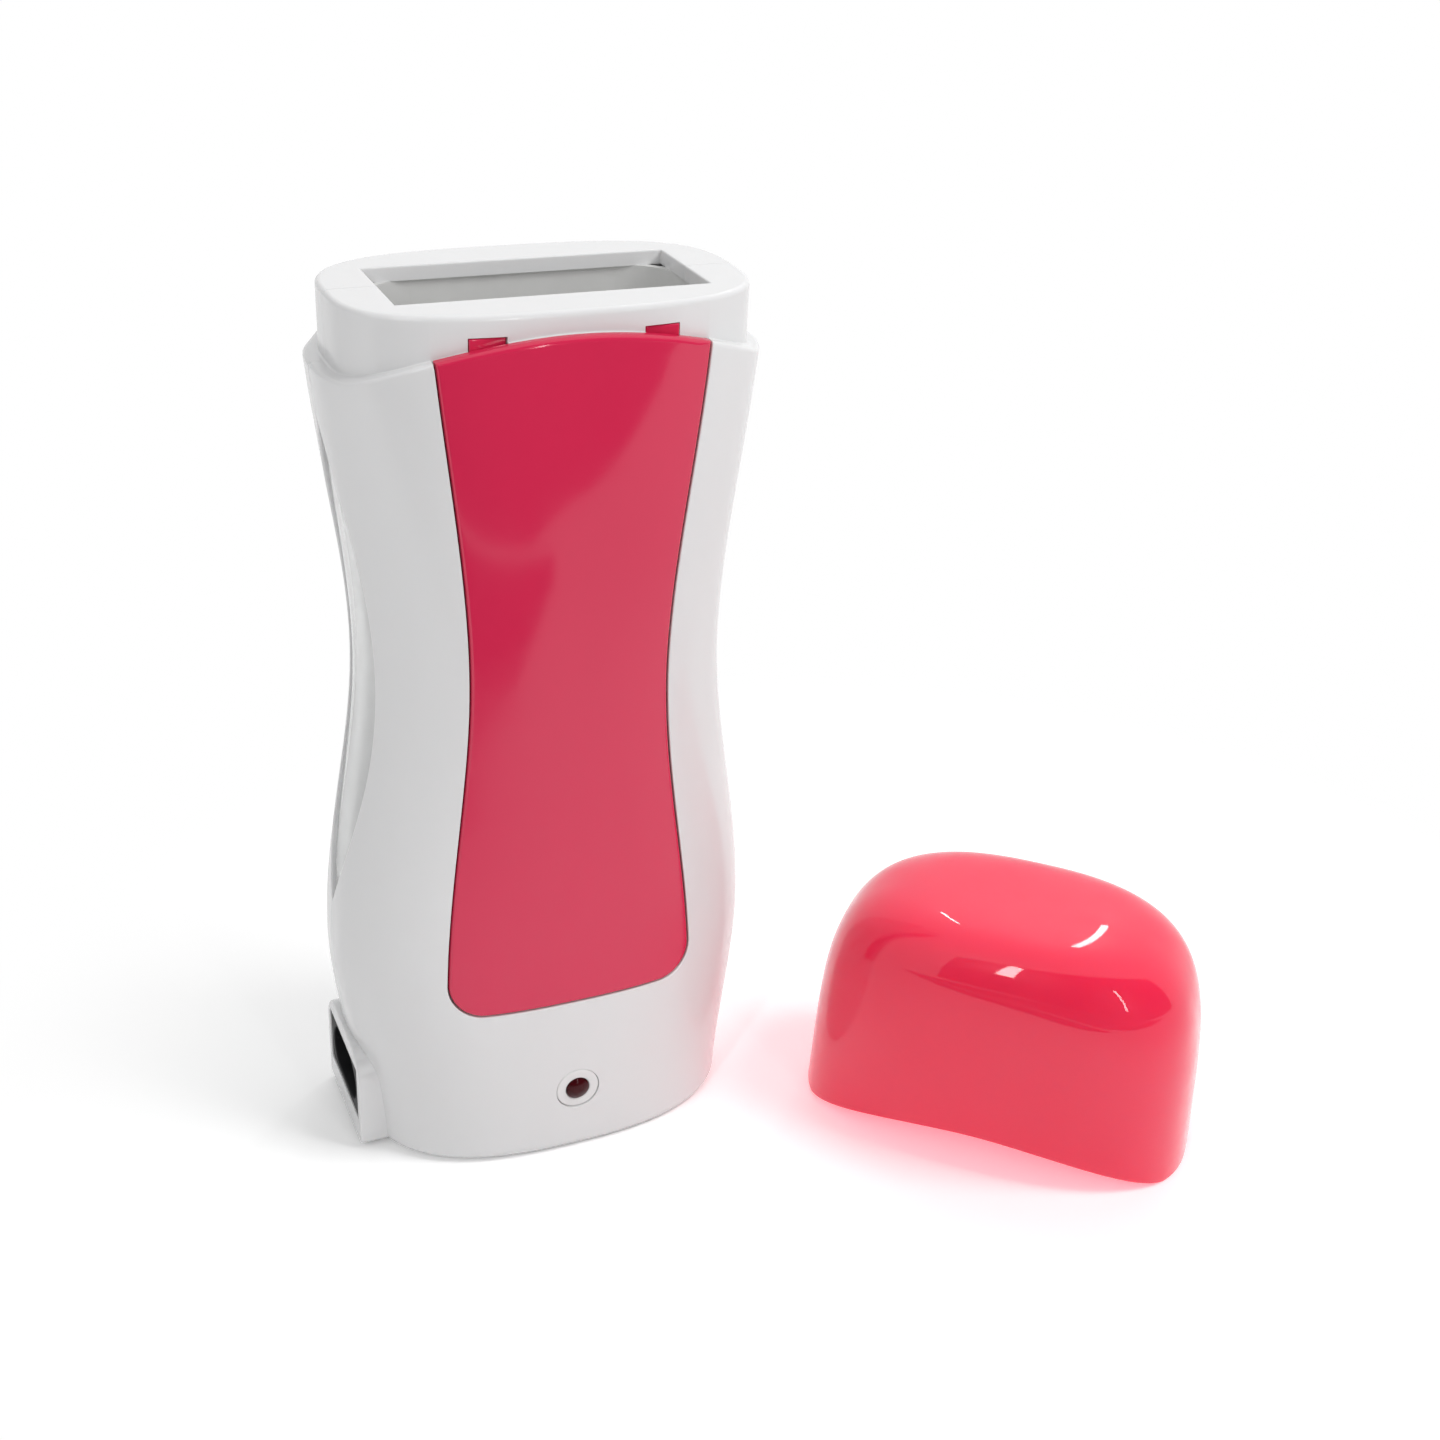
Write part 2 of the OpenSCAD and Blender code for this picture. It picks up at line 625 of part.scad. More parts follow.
// The cap where it stands, hollow and open below, with a rim that fits the arched shoulder
module cap() {
    color(pink) translate([cap_x, -cap_y, 0]) rotate([0, 0, -cap_turn]) difference() {
        loft(cap_rings(shoulder_w / 2, shoulder_d / 2, cap_h, body_n, 0, 0));
        loft(cap_rings(neck_w / 2 + cap_gap, neck_d / 2 + cap_gap, cap_h - cap_wall, neck_n,
            neck_h + 1, -past));
        translate([0, 0, shoulder_rise - arch_r]) rotate([90, 0, 0])
            cylinder(r = arch_r, h = shoulder_d + 2 * past, center = true, $fn = 240);
    }
}

// ---- Lamp ----

lamp_face = half_d(lamp_z);
// Collar behind the bezel, the chamfer at its front, and the lens with its dome
bezel_collar_d = bezel_od + 2;
bezel_collar_t = 1;
bezel_edge = 0.3;
lens_dome = 0.7;
lens_back = lamp_face - front_wall - bezel_collar_t - fit;
// Board behind the lamp: distance from the parting plane, thickness, width and height
board_y = lens_back - 5;
board_t = 1.2;
board_w = 22;
board_h = 11;
// Posts that carry the board, and the pins at their ends
board_post_x = 8.4;
board_post_d = 4;
board_pin_d = 1.6;
board_pin_past = 0.6;
// The lamp on the board, with the flange at its foot
lamp_d = 3;
lamp_flange = 0.4;
lamp_flange_t = 1;
// Resistor on the back of the board: body, leads, how far they reach past it, and its place
resistor_d = 2.4;
resistor_l = 6.6;
resistor_lead_d = 0.6;
resistor_lead = 1.5;
resistor_z = lamp_z + 3;

// Ring round the lamp, flush with the housing
module led_bezel() {
    seat = half_d(lamp_z + bezel_collar_d / 2) - front_wall - fit / 2;
    color(white) difference() {
        translate([0, -lamp_face + fit / 2, lamp_z]) rotate([-90, 0, 0]) union() {
            cylinder(d1 = bezel_od - 2 * bezel_edge, d2 = bezel_od, h = bezel_edge, $fn = 64);
            translate([0, 0, bezel_edge]) cylinder(d = bezel_od, h = lamp_face - seat - bezel_edge, $fn = 64);
            translate([0, 0, lamp_face - fit / 2 - seat])
                cylinder(d = bezel_collar_d, h = bezel_collar_t, $fn = 64);
        }
        translate([0, -body_reach, lamp_z]) rotate([-90, 0, 0])
            cylinder(d = lens_d + fit, h = body_reach, $fn = 48);
    }
}

// Dark lens with a low dome
module led_lens() {
    dome_r = (pow(lens_d / 2, 2) + lens_dome * lens_dome) / (2 * lens_dome);
    color("#4a1218") translate([0, -lamp_face, lamp_z]) rotate([-90, 0, 0]) {
        cylinder(d = lens_d, h = lamp_face - lens_back, $fn = 48);
        intersection() {
            translate([0, 0, dome_r - lens_dome]) sphere(dome_r, $fn = 64);
            translate([0, 0, -lens_dome - past]) cylinder(d = lens_d, h = lens_dome + past + bite, $fn = 48);
        }
    }
}

// The lamp itself, standing on its board behind the lens
module led_lamp() {
    foot = lens_back - fit - board_y;
    color("#a01020") translate([0, -lens_back + fit, lamp_z]) rotate([-90, 0, 0]) {
        translate([0, 0, lamp_d / 2]) sphere(d = lamp_d, $fn = 48);
        translate([0, 0, lamp_d / 2]) cylinder(d = lamp_d, h = foot - lamp_d / 2, $fn = 48);
        translate([0, 0, foot - lamp_flange_t])
            cylinder(d = lamp_d + 2 * lamp_flange, h = lamp_flange_t, $fn = 48);
    }
}

// Board that carries the lamp, on the pins of its posts
module led_board() {
    color("#2f7d4f") difference() {
        translate([-board_w / 2, -board_y, lamp_z - board_h / 2]) cube([board_w, board_t, board_h]);
        for (s = [-1, 1]) translate([s * board_post_x, -board_y - past, lamp_z]) rotate([-90, 0, 0])
            cylinder(d = board_pin_d + fit, h = board_t + 2 * past, $fn = 24);
    }
}

// Resistor that drops the mains to the lamp's current, with its bent leads
module dropper_resistor() {
    rise = resistor_d / 2 + fit;
    color("#c9a66b") translate([0, board_t - board_y + rise, resistor_z]) {
        rotate([0, 90, 0]) cylinder(d = resistor_d, h = resistor_l, center = true, $fn = 32);
        rotate([0, 90, 0])
            cylinder(d = resistor_lead_d, h = resistor_l + 2 * resistor_lead, center = true, $fn = 16);
        for (s = [-1, 1])
            translate([s * (resistor_l / 2 + resistor_lead - resistor_lead_d / 2), -rise, 0])
                rotate([-90, 0, 0]) cylinder(d = resistor_lead_d, h = rise, $fn = 16);
    }
}

// ---- Mains inlet ----

// Depth of the inlet's face inside its boss, and length of the moulding
inlet_set = 0.2;
inlet_l = 15;
// Recess for the connector: width, height and depth
inlet_recess = [16.4, 8.8, 11];
// Collar behind the tunnel: how far it stands out to the sides and up, and its thickness
inlet_collar = [1.5, 1.3, 1.6];
// The pins' tips lie inside the mouth of the recess, their tails stick out at the back
pin_tip = 1.4;
pin_tail = 3;
pin_play = 0.06;

// Black moulding with the recess for a two-pin connector
module inlet_body() {
    lobe_x = (inlet_recess[0] - inlet_recess[1]) / 2;
    color("#1c1c1e") translate([-boss_x + inlet_set, 0, inlet_z]) rotate([90, 0, 90]) difference() {
        union() {
            linear_extrude(inlet_l) square([inlet_w, inlet_h], center = true);
            translate([0, 0, inlet_tunnel - inlet_set]) linear_extrude(inlet_collar[2])
                square([inlet_w + 2 * inlet_collar[0], inlet_h + 2 * inlet_collar[1]], center = true);
        }
        translate([0, 0, -past]) linear_extrude(inlet_recess[2] + past) union() {
            square([2 * lobe_x, inlet_recess[1]], center = true);
            for (s = [-1, 1]) translate([s * lobe_x, 0]) circle(d = inlet_recess[1], $fn = 48);
        }
        for (s = [-1, 1]) translate([s * pin_pitch / 2, 0, 0])
            cylinder(d = pin_d + pin_play, h = inlet_l + past, $fn = 32);
    }
}

// The two pins in the recess
module inlet_pins() {
    color(metal) for (s = [-1, 1])
        translate([-boss_x + inlet_set + pin_tip, s * pin_pitch / 2, inlet_z]) rotate([0, 90, 0])
            cylinder(d = pin_d, h = inlet_l - pin_tip + pin_tail, $fn = 32);
}

// ---- Cartridge sleeve and heater ----

// Slots in the sleeve behind the windows: how much narrower and shorter they are
slot_less = 3;
slot_short = 10;
// Heater plate: height, and how far it laps the sleeve round its own window
plate_z = sleeve_z + 4;
plate_lap = 5;
// Stakes that hold the plate: height from its ends, shank, head and thickness of the head
stake_x = (plate_w - plate_lap) / 2;
stake_z = 8;
stake_d = 2.2;
stake_head_d = 3.4;
stake_head_t = 0.7;
// Heating pack on the plate: height of its middle, film, strips, and the tablets between them
pack_z = plate_z + 20;
film_t = 0.15;
film_past = 0.4;
strip_t = 0.3;
strip_w = tablet_w - 2;
tablet_gap = 1;
tablet_count = 2;
pack_l = tablet_count * (tablet_l + tablet_gap) - tablet_gap;
pack_y = sleeve_back + plate_t;
pack_t = 2 * film_t + 2 * strip_t + tablet_t;
// Solder tabs at the lower ends of the strips
tab_w = 3;
tab_l = 2.6;
// Strap over the pack: thickness, width, room at its sides, and its screws
clamp_t = 0.6;
clamp_w = 8;
clamp_room = 0.95;
clamp_lap = 2.6;
clamp_foot = 7;
clamp_screw_x = tablet_w / 2 + clamp_foot;
clamp_screw_d = 2;
clamp_head_d = 3.6;
clamp_head_t = 1.1;

// Rectangle with round corners, as an exact outline
module round_rect(w, d, r) {
    square([w - 2 * r, d], center = true);
    square([w, d - 2 * r], center = true);
    for (sx = [-1, 1], sy = [-1, 1]) translate([sx * (w / 2 - r), sy * (d / 2 - r)]) circle(r, $fn = 64);
}

// The four places of the heater plate's stakes
module at_stakes(y) {
    for (s = [-1, 1], z = [plate_z + stake_z, plate_z + plate_l - stake_z])
        translate([s * stake_x, y, z]) rotate([-90, 0, 0]) children();
}

// Chamber for the cartridge, with slots behind the windows and a window for the heater plate
module cartridge_sleeve() {
    slot_half = window_half - slot_less;
    slot_reach = window_reach - slot_short;
    color("#f4f4f2") difference() {
        union() {
            translate([0, 0, sleeve_z]) linear_extrude(sleeve_top - sleeve_z)
                round_rect(sleeve_w + 2 * sleeve_wall, sleeve_d + 2 * sleeve_wall, sleeve_r + sleeve_wall);
            at_stakes(sleeve_back - bite) {
                cylinder(d = stake_d, h = bite + plate_t + stake_head_t, $fn = 32);
                translate([0, 0, bite + plate_t]) cylinder(d = stake_head_d, h = stake_head_t, $fn = 32);
            }
        }
        translate([0, 0, sleeve_z + sleeve_wall]) linear_extrude(sleeve_top)
            round_rect(sleeve_w, sleeve_d, sleeve_r);
        translate([0, 0, window_z]) rotate([90, 0, 90]) linear_extrude(2 * sleeve_w, center = true) {
            square([2 * slot_half, 2 * (slot_reach - slot_half)], center = true);
            for (s = [-1, 1]) translate([0, s * (slot_reach - slot_half)]) circle(slot_half, $fn = 48);
        }
        translate([-plate_w / 2 + plate_lap, 0, plate_z + plate_lap])
            cube([plate_w - 2 * plate_lap, sleeve_d, plate_l - 2 * plate_lap]);
    }
}

// Plate that passes the heat to the cartridge through the sleeve's rear window
module heater_plate() {
    inner = plate_lap + fit;
    color("#b9bcc0") difference() {
        union() {
            translate([-plate_w / 2, sleeve_back, plate_z]) cube([plate_w, plate_t, plate_l]);
            translate([-plate_w / 2 + inner, sleeve_d / 2, plate_z + inner])
                cube([plate_w - 2 * inner, sleeve_wall + plate_t / 2, plate_l - 2 * inner]);
        }
        at_stakes(sleeve_back - past) cylinder(d = stake_d + 2 * fit, h = plate_t + 2 * past, $fn = 32);
        for (s = [-1, 1]) translate([s * clamp_screw_x, sleeve_d / 2 - past, pack_z]) rotate([-90, 0, 0])
            cylinder(d = clamp_screw_d + bite_play, h = sleeve_wall + plate_t + 2 * past, $fn = 32);
    }
}

// Ceramic tablets, one above the other
module heating_tablets() {
    color("#8a6f5a") translate([-tablet_w / 2, pack_y + film_t + strip_t, pack_z - pack_l / 2])
        for (k = [0:tablet_count - 1]) translate([0, 0, k * (tablet_l + tablet_gap)])
            cube([tablet_w, tablet_t, tablet_l]);
}

// Metal strips on both faces of the tablets, each with a solder tab
module electrode_strips() {
    color(metal) for (s = [-1, 1]) {
        y = pack_y + film_t + (s < 0 ? strip_t + tablet_t : 0);
        translate([-strip_w / 2, y, pack_z - pack_l / 2]) cube([strip_w, strip_t, pack_l]);
        translate([s * strip_w / 2 - (s > 0 ? tab_w : 0), y, pack_z - pack_l / 2 - tab_l])
            cube([tab_w, strip_t, tab_l + bite]);
    }
}

// Film wrapped round the tablets and strips, open above and below
module insulation_film() {
    half = tablet_w / 2 + fit;
    color("#c98a2b") translate([0, pack_y, pack_z]) difference() {
        translate([-half - film_t, 0, -pack_l / 2 - film_past])
            cube([2 * (half + film_t), pack_t, pack_l + 2 * film_past]);
        translate([-half, film_t, -pack_l / 2 - past])
            cube([2 * half, pack_t - 2 * film_t, pack_l + 2 * past]);
    }
}

// Strap that presses the heating pack against the plate
module heater_clamp() {
    rise = tablet_w / 2 + clamp_room;
    foot = clamp_screw_x + clamp_lap;
    color("#9aa0a6") difference() {
        translate([0, pack_y, pack_z - clamp_w / 2]) linear_extrude(clamp_w) polygon([
            [-foot, 0], [-rise - clamp_t, 0], [-rise, pack_t], [rise, pack_t], [rise + clamp_t, 0], [foot, 0],
            [foot, clamp_t], [rise + 2 * clamp_t, clamp_t], [rise + clamp_t, pack_t + clamp_t],
            [-rise - clamp_t, pack_t + clamp_t], [-rise - 2 * clamp_t, clamp_t], [-foot, clamp_t]]);
        for (s = [-1, 1]) translate([s * clamp_screw_x, pack_y - past, pack_z]) rotate([-90, 0, 0])
            cylinder(d = clamp_screw_d + 2 * fit, h = clamp_t + 2 * past, $fn = 32);
    }
}

// The two screws through the strap's feet into the plate
module clamp_screws() {
    color(metal) for (s = [-1, 1])
        translate([s * clamp_screw_x, pack_y + clamp_t, pack_z]) rotate([90, 0, 0]) {
            cylinder(d = clamp_screw_d, h = clamp_t + plate_t + sleeve_wall - fit, $fn = 32);
            translate([0, 0, -clamp_head_t]) cylinder(d = clamp_head_d, h = clamp_head_t, $fn = 32);
        }
}

// Thermal fuse across the bottom of the plate: body, leads, and the tube that insulates it
fuse_d = 2.6;
fuse_l = 9;
fuse_lead_d = 0.9;
fuse_lead_half = 9;
fuse_tube_d = 3.3;
fuse_tube_bore = fuse_d + 0.2;
fuse_tube_l = fuse_l + 5;
fuse_drop = 0.4;
fuse_z = pack_z - pack_l / 2 - tab_l - fuse_drop - fuse_tube_d / 2;
fuse_y = pack_y + (fuse_tube_d + fit) / 2;

// The fuse and its leads
module thermal_fuse() {
    color("#d9d9d0") translate([0, fuse_y, fuse_z]) rotate([0, 90, 0]) {
        cylinder(d = fuse_d, h = fuse_l, center = true, $fn = 32);
        cylinder(d = fuse_lead_d, h = 2 * fuse_lead_half, center = true, $fn = 16);
    }
}

// The insulating tube over the fuse
module fuse_sleeve() {
    color("#f2efe2") translate([0, fuse_y, fuse_z]) rotate([0, 90, 0]) difference() {
        cylinder(d = fuse_tube_d, h = fuse_tube_l, center = true, $fn = 32);
        cylinder(d = fuse_tube_bore, h = fuse_tube_l + 2 * past, center = true, $fn = 32);
    }
}

// ---- Wires ----

wire_d = 1.8;
lamp_wire_d = 1;
wire_sides = 8;
// Direction that no wire runs along, from which each ring of points is laid out
off_axis = [0.27, 0.61, 0.74];
// Places where the wires end: the pins' tails, the side of a pin, the fuse's leads and the solder tabs
pin_end_x = -boss_x + inlet_set + inlet_l + pin_tail + fit / 2;
pin_side = (pin_pitch + pin_d + lamp_wire_d + fit) / 2;
lamp_end_x = pin_end_x - pin_tail / 2;
fuse_end_x = fuse_lead_half + fit / 2;
tab_z = pack_z - (pack_l + tab_l) / 2 - fit;
tab_x = (strip_w - tab_w) / 2;
front_tab_y = pack_y + film_t + strip_t + (wire_d + fit) / 2;
rear_tab_y = front_tab_y + strip_t + tablet_t;
// Where the lamp's wires leave the back of the board
lamp_wire_at = [6, board_t - board_y + fit / 2, lamp_z - 4];

function unit(v) = v / norm(v);

// Direction of a route at point k, half way between the stretches that meet there
function heading(route, k) = unit(
    (k == 0 ? [0, 0, 0] : unit(route[k] - route[k - 1]))
    + (k == len(route) - 1 ? [0, 0, 0] : unit(route[k + 1] - route[k])));

// Round wire of diameter d along a route of points
module wire(route, d) {
    loft([for (k = [0:len(route) - 1]) let (
            t = heading(route, k),
            u = unit(cross(t, off_axis)),
            v = cross(t, u))
        [for (i = [0:wire_sides - 1]) let (a = 360 * i / wire_sides)
            route[k] + d / 2 * (cos(a) * u + sin(a) * v)]]);
}

// Turns of the wires between the pins and the heating pack, inside the posts of the sleeve
post_side = sleeve_post[0] - (sleeve_post[2] + wire_d) / 2 - 1;
wire_straight = 4;
live_turns = [[post_side, 4, 18], [post_side, 11, 25]];
live_drop = 12.4;
neutral_turns = [[post_side, 7, 13], [post_side, 12, 19]];
neutral_drop = [14, 28];
fuse_turn = 1.2;
// Turns of the lamp's wires, which run under the other two
lamp_turns = [[9, -5.4, 7], [-2, -2, 6], [9, 3, 5.6]];
lamp_low = 7.6;
lamp_out = 1.5;

function to_left(p) = [-p[0], p[1], p[2]];

// From the front pin to the fuse, and from the fuse to the front strip's tab
module live_wires() {
    y = -pin_pitch / 2;
    color("#7a4a2a") {
        wire([[pin_end_x, y, inlet_z], [pin_end_x + wire_straight, y, inlet_z],
            [pin_end_x + 2 * wire_straight, y / 2, inlet_z + wire_d],
            to_left(live_turns[0]), to_left(live_turns[1]), [-live_drop, fuse_y, sleeve_z - wire_d],
            [-live_drop, fuse_y, fuse_z - 2 * fuse_turn],
            [fuse_turn / 2 - live_drop, fuse_y, fuse_z - fuse_turn],
            [-fuse_end_x - fuse_turn, fuse_y, fuse_z], [-fuse_end_x, fuse_y, fuse_z]], wire_d);
        wire([[fuse_end_x, fuse_y, fuse_z], [fuse_end_x + fuse_turn, fuse_y, fuse_z],
            [fuse_end_x + 2 * fuse_turn, fuse_y, fuse_z + fuse_turn],
            [fuse_end_x + 2 * fuse_turn, fuse_y, tab_z - fuse_turn],
            [fuse_end_x, front_tab_y, tab_z], [tab_x, front_tab_y, tab_z]], wire_d);
    }
}

// From the rear pin to the rear strip's tab
module neutral_wire() {
    y = pin_pitch / 2;
    color("#2a5a9a") wire([[pin_end_x, y, inlet_z], [pin_end_x + wire_straight, y, inlet_z],
        to_left(neutral_turns[0]), to_left(neutral_turns[1]),
        [-neutral_drop[0], rear_tab_y, neutral_drop[1]],
        [-neutral_drop[0], rear_tab_y, fuse_z], [-live_drop, rear_tab_y, tab_z - fuse_turn / 2],
        [-fuse_end_x, rear_tab_y, tab_z], [-tab_x, rear_tab_y, tab_z]], wire_d);
}

// From the board to the two pins
module lamp_wires() {
    low = lamp_wire_at + [0, lamp_out, 0];
    color("#8c8c8c") {
        wire([to_left(lamp_wire_at), to_left(low), to_left(lamp_turns[0]),
            [pin_end_x + wire_straight, lamp_out / 2 - pin_side, lamp_low - lamp_wire_d],
            [pin_end_x, -pin_side, lamp_low], [lamp_end_x, -pin_side, inlet_z]], lamp_wire_d);
        wire([lamp_wire_at, low, to_left(lamp_turns[1]), to_left(lamp_turns[2]),
            [pin_end_x + wire_straight, pin_side - lamp_out / 2, lamp_low - 2 * lamp_wire_d],
            [pin_end_x, pin_side, lamp_low], [lamp_end_x, pin_side, inlet_z]], lamp_wire_d);
    }
}

front_shell();
rear_shell();
front_panel();
window_left();
window_right();
cap();
led_bezel();
led_lens();
led_lamp();
led_board();
dropper_resistor();
inlet_body();
inlet_pins();
cartridge_sleeve();
heater_plate();
heating_tablets();
electrode_strips();
insulation_film();
heater_clamp();
clamp_screws();
thermal_fuse();
fuse_sleeve();
live_wires();
neutral_wire();
lamp_wires();
case_screws();
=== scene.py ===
"""Looks of a roll-on wax heater: its housing, panel, windows, cap, lamp, inlet and inner pieces.

Every form is worked out in millimetres from the heater's driving sizes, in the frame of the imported
model: the origin is the middle of the flat base, +Z is up and the front panel faces -Y. Meshes are
written in metres.
"""

import logging
import math
from dataclasses import dataclass, field
from enum import Enum
from typing import Sequence

import bmesh
import bpy
import numpy as np
from mathutils import Matrix, Vector


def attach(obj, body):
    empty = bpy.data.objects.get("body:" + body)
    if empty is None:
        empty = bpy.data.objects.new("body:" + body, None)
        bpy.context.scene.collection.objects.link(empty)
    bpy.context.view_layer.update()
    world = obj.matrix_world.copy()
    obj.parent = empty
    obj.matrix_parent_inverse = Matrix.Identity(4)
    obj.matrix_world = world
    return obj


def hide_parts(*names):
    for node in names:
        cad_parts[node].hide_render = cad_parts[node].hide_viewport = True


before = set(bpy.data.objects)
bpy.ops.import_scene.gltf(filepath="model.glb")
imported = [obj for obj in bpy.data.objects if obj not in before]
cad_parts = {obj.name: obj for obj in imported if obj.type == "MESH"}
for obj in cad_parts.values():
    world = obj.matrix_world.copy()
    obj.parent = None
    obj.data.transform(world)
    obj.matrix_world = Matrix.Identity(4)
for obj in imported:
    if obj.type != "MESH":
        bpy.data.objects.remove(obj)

LOG = logging.getLogger("wax_heater")
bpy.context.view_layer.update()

MM = 0.001
# Distance under which points of a mesh become one, in metres.
WELD = 0.0005 * MM
# Angle in degrees above which the edges of a carved piece stay crisp.
CARVED_SHARP = 40.0
LARGE_FACE_WEIGHT = 60
# Repeats that settle points on a line whose height depends on where they are.
ROUNDS = 4
CLOSE_ROUNDS = 6

Grid = np.ndarray
Object = bpy.types.Object
Material = bpy.types.Material
Socket = bpy.types.NodeSocket
Flat = tuple[float, float]
Point = tuple[float, float, float]
Colour = tuple[float, float, float]


class Half(Enum):
    """The two halves of the housing, with the sign of Y on their side of the parting plane."""

    FRONT = -1
    REAR = 1


class Hand(Enum):
    """The two sides of the heater, with the sign of X."""

    LEFT = -1
    RIGHT = 1


class Body(Enum):
    """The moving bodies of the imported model."""

    HEATER = "heater"
    CAP = "cap"


# ---- Finishes ----


class NodeTree:
    """Short ways to add and link shader nodes in one material."""

    NOISE_ENDS = (0.3, 0.7)

    def __init__(self, name: str) -> None:
        """Starts a material with a Principled surface.

        Args:
            name: Name of the material.
        """
        self.material = bpy.data.materials.new(name)
        self.material.use_nodes = True
        self.nodes = self.material.node_tree.nodes
        self.links = self.material.node_tree.links
        self.surface = self.nodes["Principled BSDF"]
        self.output = self.nodes["Material Output"]
        self.place = self.nodes.new("ShaderNodeTexCoord").outputs["Object"]

    def add(self, kind: str, **values: object) -> bpy.types.Node:
        """Adds a node and sets its properties or its inputs by name.

        Args:
            kind: Type of the node, without its "ShaderNode" start.
            values: Property or input names, with spaces as underscores, and their values.

        Returns:
            The new node.
        """
        node = self.nodes.new("ShaderNode" + kind)
        for key, value in values.items():
            socket = key.replace("_", " ")
            if socket in node.inputs:
                node.inputs[socket].default_value = value
            else:
                setattr(node, key, value)
        return node

    def noise(self, scale: float, detail: float, stretch: Point = (1, 1, 1)) -> Socket:
        """Adds a noise pattern in the frame of the object.

        Args:
            scale: Patches per metre.
            detail: Octaves of the pattern.
            stretch: Scale along X, Y and Z, for a pattern with a direction.

        Returns:
            The socket of the pattern's value.
        """
        mapping = self.add("Mapping")
        mapping.inputs["Scale"].default_value = stretch
        self.links.new(self.place, mapping.inputs["Vector"])
        noise = self.add("TexNoise", Scale=scale, Detail=detail)
        self.links.new(mapping.outputs["Vector"], noise.inputs["Vector"])
        return noise.outputs["Fac"]

    def spread(self, value: Socket, low: float, high: float) -> Socket:
        """Maps a pattern's value to a range.

        Args:
            value: Socket of the pattern.
            low: Value where the pattern is darkest.
            high: Value where it is lightest.

        Returns:
            The socket of the mapped value.
        """
        node = self.add("MapRange")
        for name, level in zip(("From Min", "From Max", "To Min", "To Max"), (*self.NOISE_ENDS, low, high)):
            node.inputs[name].default_value = level
        self.links.new(value, node.inputs["Value"])
        return node.outputs["Result"]

    def roughen(self, value: Socket, roughness: float, low: float, high: float) -> None:
        """Lets the roughness change with a pattern, from low to high times its middle value."""
        rough = self.spread(value, roughness * low, roughness * high)
        self.links.new(rough, self.surface.inputs["Roughness"])

    def tint(self, value: Socket, colour: Colour, change: float) -> None:
        """Lets the base colour change a little with a pattern.

        Args:
            value: Socket of the pattern.
            colour: Middle colour, linear.
            change: Share by which the colour falls and rises.
        """
        ramp = self.add("ValToRGB")
        for stop, end, share in zip(ramp.color_ramp.elements, self.NOISE_ENDS, (1 - change, 1 + change)):
            stop.position = end
            stop.color = (*[min(c * share, 1) for c in colour], 1)
        self.links.new(value, ramp.inputs["Fac"])
        self.links.new(ramp.outputs["Color"], self.surface.inputs["Base Color"])

    def bump(self, value: Socket, height: float, strength: float) -> None:
        """Raises the surface by a pattern.

        Args:
            value: Socket of the pattern.
            height: Height of the relief in metres.
            strength: Strength of the effect.
        """
        node = self.add("Bump", Strength=strength, Distance=height)
        self.links.new(value, node.inputs["Height"])
        if self.surface.inputs["Normal"].links:
            self.links.new(self.surface.inputs["Normal"].links[0].from_socket, node.inputs["Normal"])
        self.links.new(node.outputs["Normal"], self.surface.inputs["Normal"])

    def set(self, **values: object) -> None:
        """Sets sockets of the surface shader, named with underscores for spaces."""
        for key, value in values.items():
            self.surface.inputs[key.replace("_", " ")].default_value = value

    def let_lamps_through(self, colour: Colour) -> None:
        """Lets the light of the lamps through, tinted, so that the shadow has the piece's colour.

        Args:
            colour: Share of the light that one surface lets through.
        """
        path, clear, mix = self.add("LightPath"), self.add("BsdfTransparent"), self.add("MixShader")
        clear.inputs["Color"].default_value = (*colour, 1)
        self.links.new(path.outputs["Is Shadow Ray"], mix.inputs[0])
        self.links.new(self.surface.outputs[0], mix.inputs[1])
        self.links.new(clear.outputs[0], mix.inputs[2])
        self.links.new(mix.outputs[0], self.output.inputs["Surface"])


@dataclass(frozen=True)
class Finish:
    """What all finishes share: the slot, which also names the material, and the colour."""

    slot: str
    colour: Colour

    def build(self) -> Material:
        """Makes the material.

        Returns:
            The new material.
        """
        tree = NodeTree(self.slot)
        self.lay(tree)
        return tree.material

    def lay(self, tree: NodeTree) -> None:
        """Sets up the surface, in a way of its own for each kind of finish."""
        raise NotImplementedError


@dataclass(frozen=True)
class MouldedPlastic(Finish):
    """Injection-moulded plastic with faint flow marks and a slight waviness under its gloss."""

    roughness: float = 0.2
    coat: float = 0.0
    subsurface: float = 0.0
    radius: Colour = (1.0, 1.0, 1.0)
    depth: float = 0.001
    wave: float = 0.000004
    grain: float = 0.0
    ior: float = 1.5

    def lay(self, tree: NodeTree) -> None:
        """Sets up the surface.

        Args:
            tree: Nodes of the material.
        """
        tree.set(IOR=self.ior, Coat_Weight=self.coat, Coat_Roughness=0.05)
        if self.subsurface > 0:
            tree.set(Subsurface_Weight=self.subsurface, Subsurface_Radius=self.radius)
            tree.set(Subsurface_Scale=self.depth)
        tree.tint(tree.noise(scale=45, detail=3, stretch=(1, 1, 0.35)), self.colour, change=0.012)
        tree.roughen(tree.noise(scale=160, detail=4), self.roughness, low=0.85, high=1.2)
        tree.bump(tree.noise(scale=130, detail=2), self.wave, strength=0.6)
        if self.grain > 0:
            tree.bump(tree.noise(scale=2600, detail=3), self.grain, strength=0.7)


